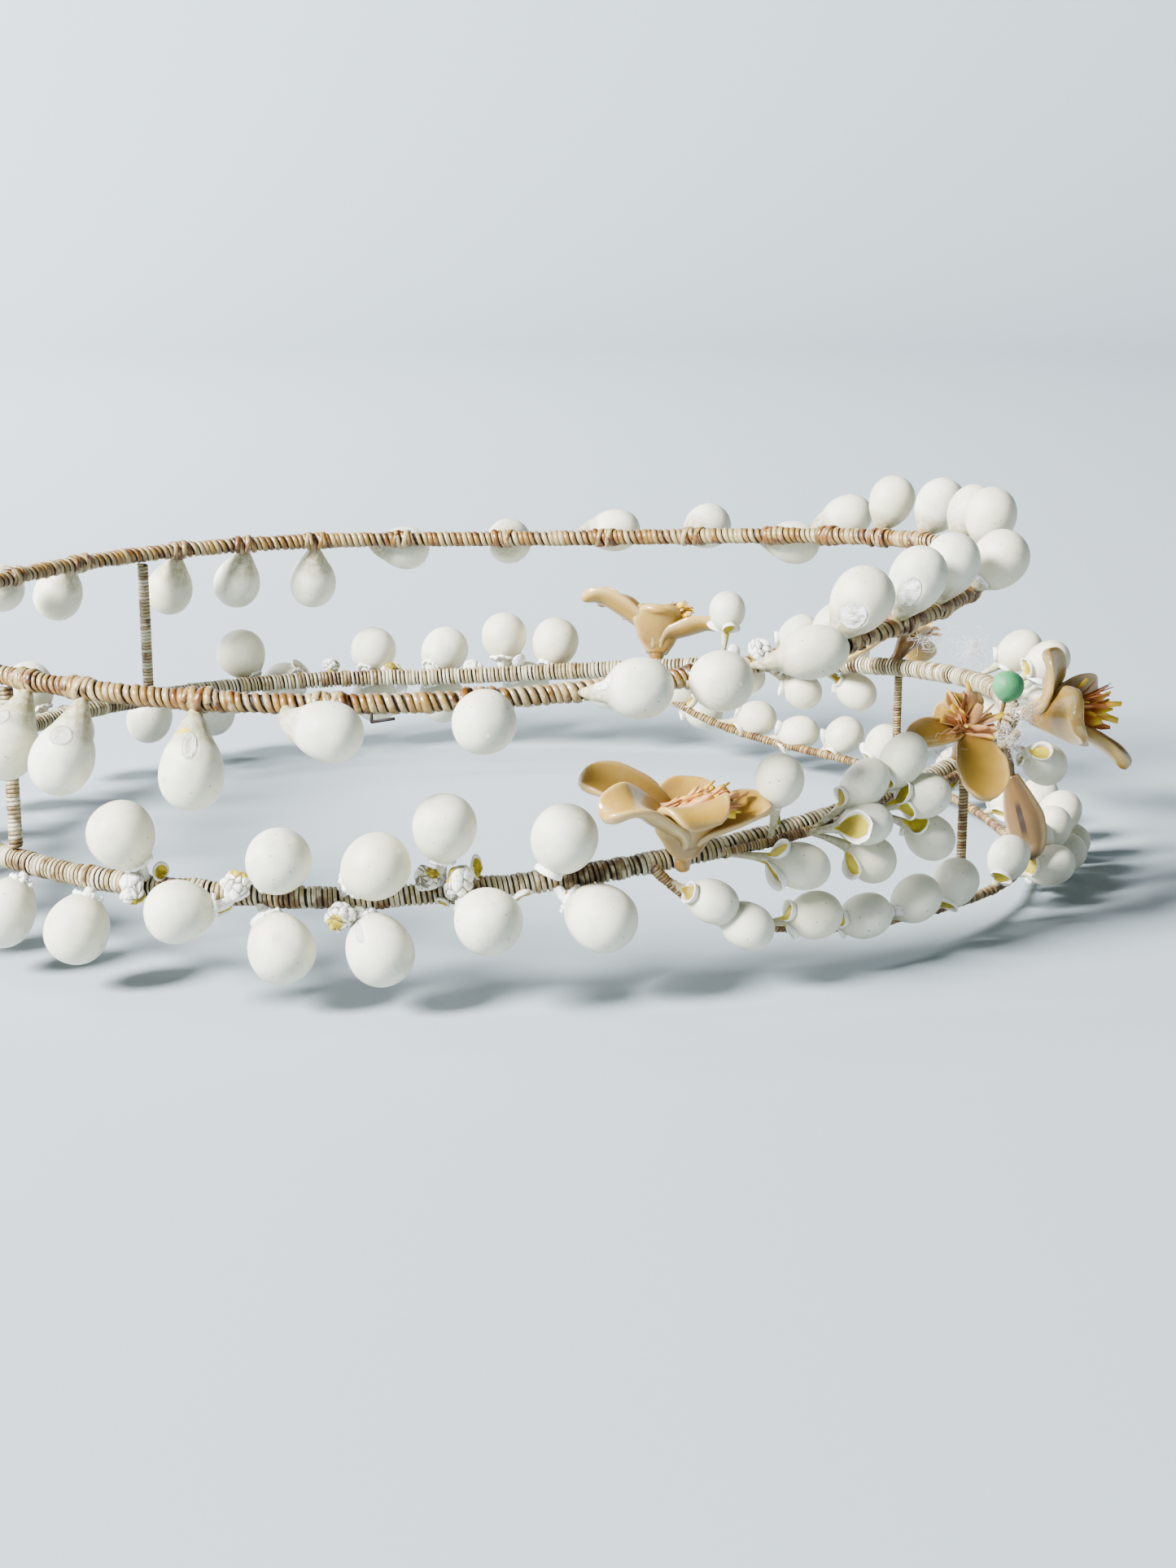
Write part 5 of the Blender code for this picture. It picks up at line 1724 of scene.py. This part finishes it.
class WREATH_OT_set_stage(Operator):
    """Sets the paper floor and backdrop, the soft lights and the camera"""

    bl_idname = "wreath.set_stage"
    bl_label = "Set stage"

    def execute(self, context):
        scene = context.scene
        mesh = bpy.data.meshes.new("paper_floor")
        outline = [(0, 0, 0)]
        for angle in range(-90, 1, 10):
            across = BOWL_CORNER * math.cos(math.radians(angle))
            height = BOWL_CORNER * math.sin(math.radians(angle))
            outline.append((BOWL_RADIUS - BOWL_CORNER + across, 0, BOWL_CORNER + height))
        outline.append((BOWL_RADIUS, 0, BOWL_HEIGHT))
        mesh.from_pydata(outline, [(i, i + 1) for i in range(len(outline) - 1)], [])
        mesh.materials.append(material("studio_paper_matt"))
        floor = bpy.data.objects.new("paper_floor", mesh)
        scene.collection.objects.link(floor)
        turned = floor.modifiers.new("Turned", "SCREW")
        turned.axis = "Z"
        turned.steps = turned.render_steps = BOWL_STEPS
        turned.use_merge_vertices = True
        turned.merge_threshold = 0.0001
        turned.use_smooth_shade = True

        for lamp in LAMPS:
            light = bpy.data.lights.new(lamp.name, "AREA")
            light.shape = "DISK"
            light.size = lamp.size
            light.energy = lamp.power
            light.color = linear(lamp.colour)
            holder = bpy.data.objects.new(lamp.name, light)
            holder.location = lamp.spot
            aim = Vector(lamp.aim) - Vector(lamp.spot)
            holder.rotation_euler = aim.to_track_quat("-Z", "Y").to_euler()
            scene.collection.objects.link(holder)

        world = bpy.data.worlds.new("pale_room")
        world.use_nodes = True
        background = world.node_tree.nodes["Background"]
        background.inputs["Color"].default_value = (*linear(ROOM_COLOUR), 1)
        background.inputs["Strength"].default_value = ROOM_LIGHT
        scene.world = world

        camera = bpy.data.cameras.new("photo_view")
        camera.lens = CAMERA_LENS
        camera.clip_start = 0.02
        camera.clip_end = 20
        holder = bpy.data.objects.new("photo_view", camera)
        holder.location = np.array(CAMERA_SPOT) + np.array(wreath_shift())
        holder.rotation_euler = (math.radians(90 - CAMERA_PITCH), 0, math.radians(-90))
        scene.collection.objects.link(holder)
        scene.camera = holder
        return {"FINISHED"}


STEPS = [
    WREATH_OT_wind_hoops,
    WREATH_OT_wind_struts,
    WREATH_OT_wind_binding_wires,
    WREATH_OT_cast_beads,
    WREATH_OT_cast_buds,
    WREATH_OT_cast_flowers,
    WREATH_OT_cut_stamens,
    WREATH_OT_dip_green_bead,
    WREATH_OT_break_crumbs,
    WREATH_OT_set_stage,
]


class WREATH_PT_panel(Panel):
    """Sidebar panel with the wreath's steps, sizes and colours"""

    bl_idname = "WREATH_PT_panel"
    bl_label = "Wax Blossom Wreath"
    bl_space_type = "VIEW_3D"
    bl_region_type = "UI"
    bl_category = "Wreath"

    def draw(self, context):
        for step in STEPS:
            self.layout.operator(step.bl_idname)
        for group in (context.scene.wreath_sizes, context.scene.wreath_colours):
            box = self.layout.box()
            for name in group.bl_rna.properties.keys():
                if name not in {"rna_type", "name"}:
                    box.prop(group, name)


CLASSES = [WreathSizes, WreathColours, *STEPS, WREATH_PT_panel]


def register():
    for made in CLASSES:
        bpy.utils.register_class(made)
    bpy.types.Scene.wreath_sizes = PointerProperty(type=WreathSizes)
    bpy.types.Scene.wreath_colours = PointerProperty(type=WreathColours)


def unregister():
    del bpy.types.Scene.wreath_colours
    del bpy.types.Scene.wreath_sizes
    for made in reversed(CLASSES):
        bpy.utils.unregister_class(made)


def main():
    register()
    bpy.ops.wreath.wind_hoops()
    bpy.ops.wreath.wind_struts()
    bpy.ops.wreath.wind_binding_wires()
    bpy.ops.wreath.cast_beads()
    bpy.ops.wreath.cast_buds()
    bpy.ops.wreath.cast_flowers()
    bpy.ops.wreath.cut_stamens()
    bpy.ops.wreath.dip_green_bead()
    bpy.ops.wreath.break_crumbs()
    bpy.ops.wreath.set_stage()


if __name__ == "__main__":
    main()
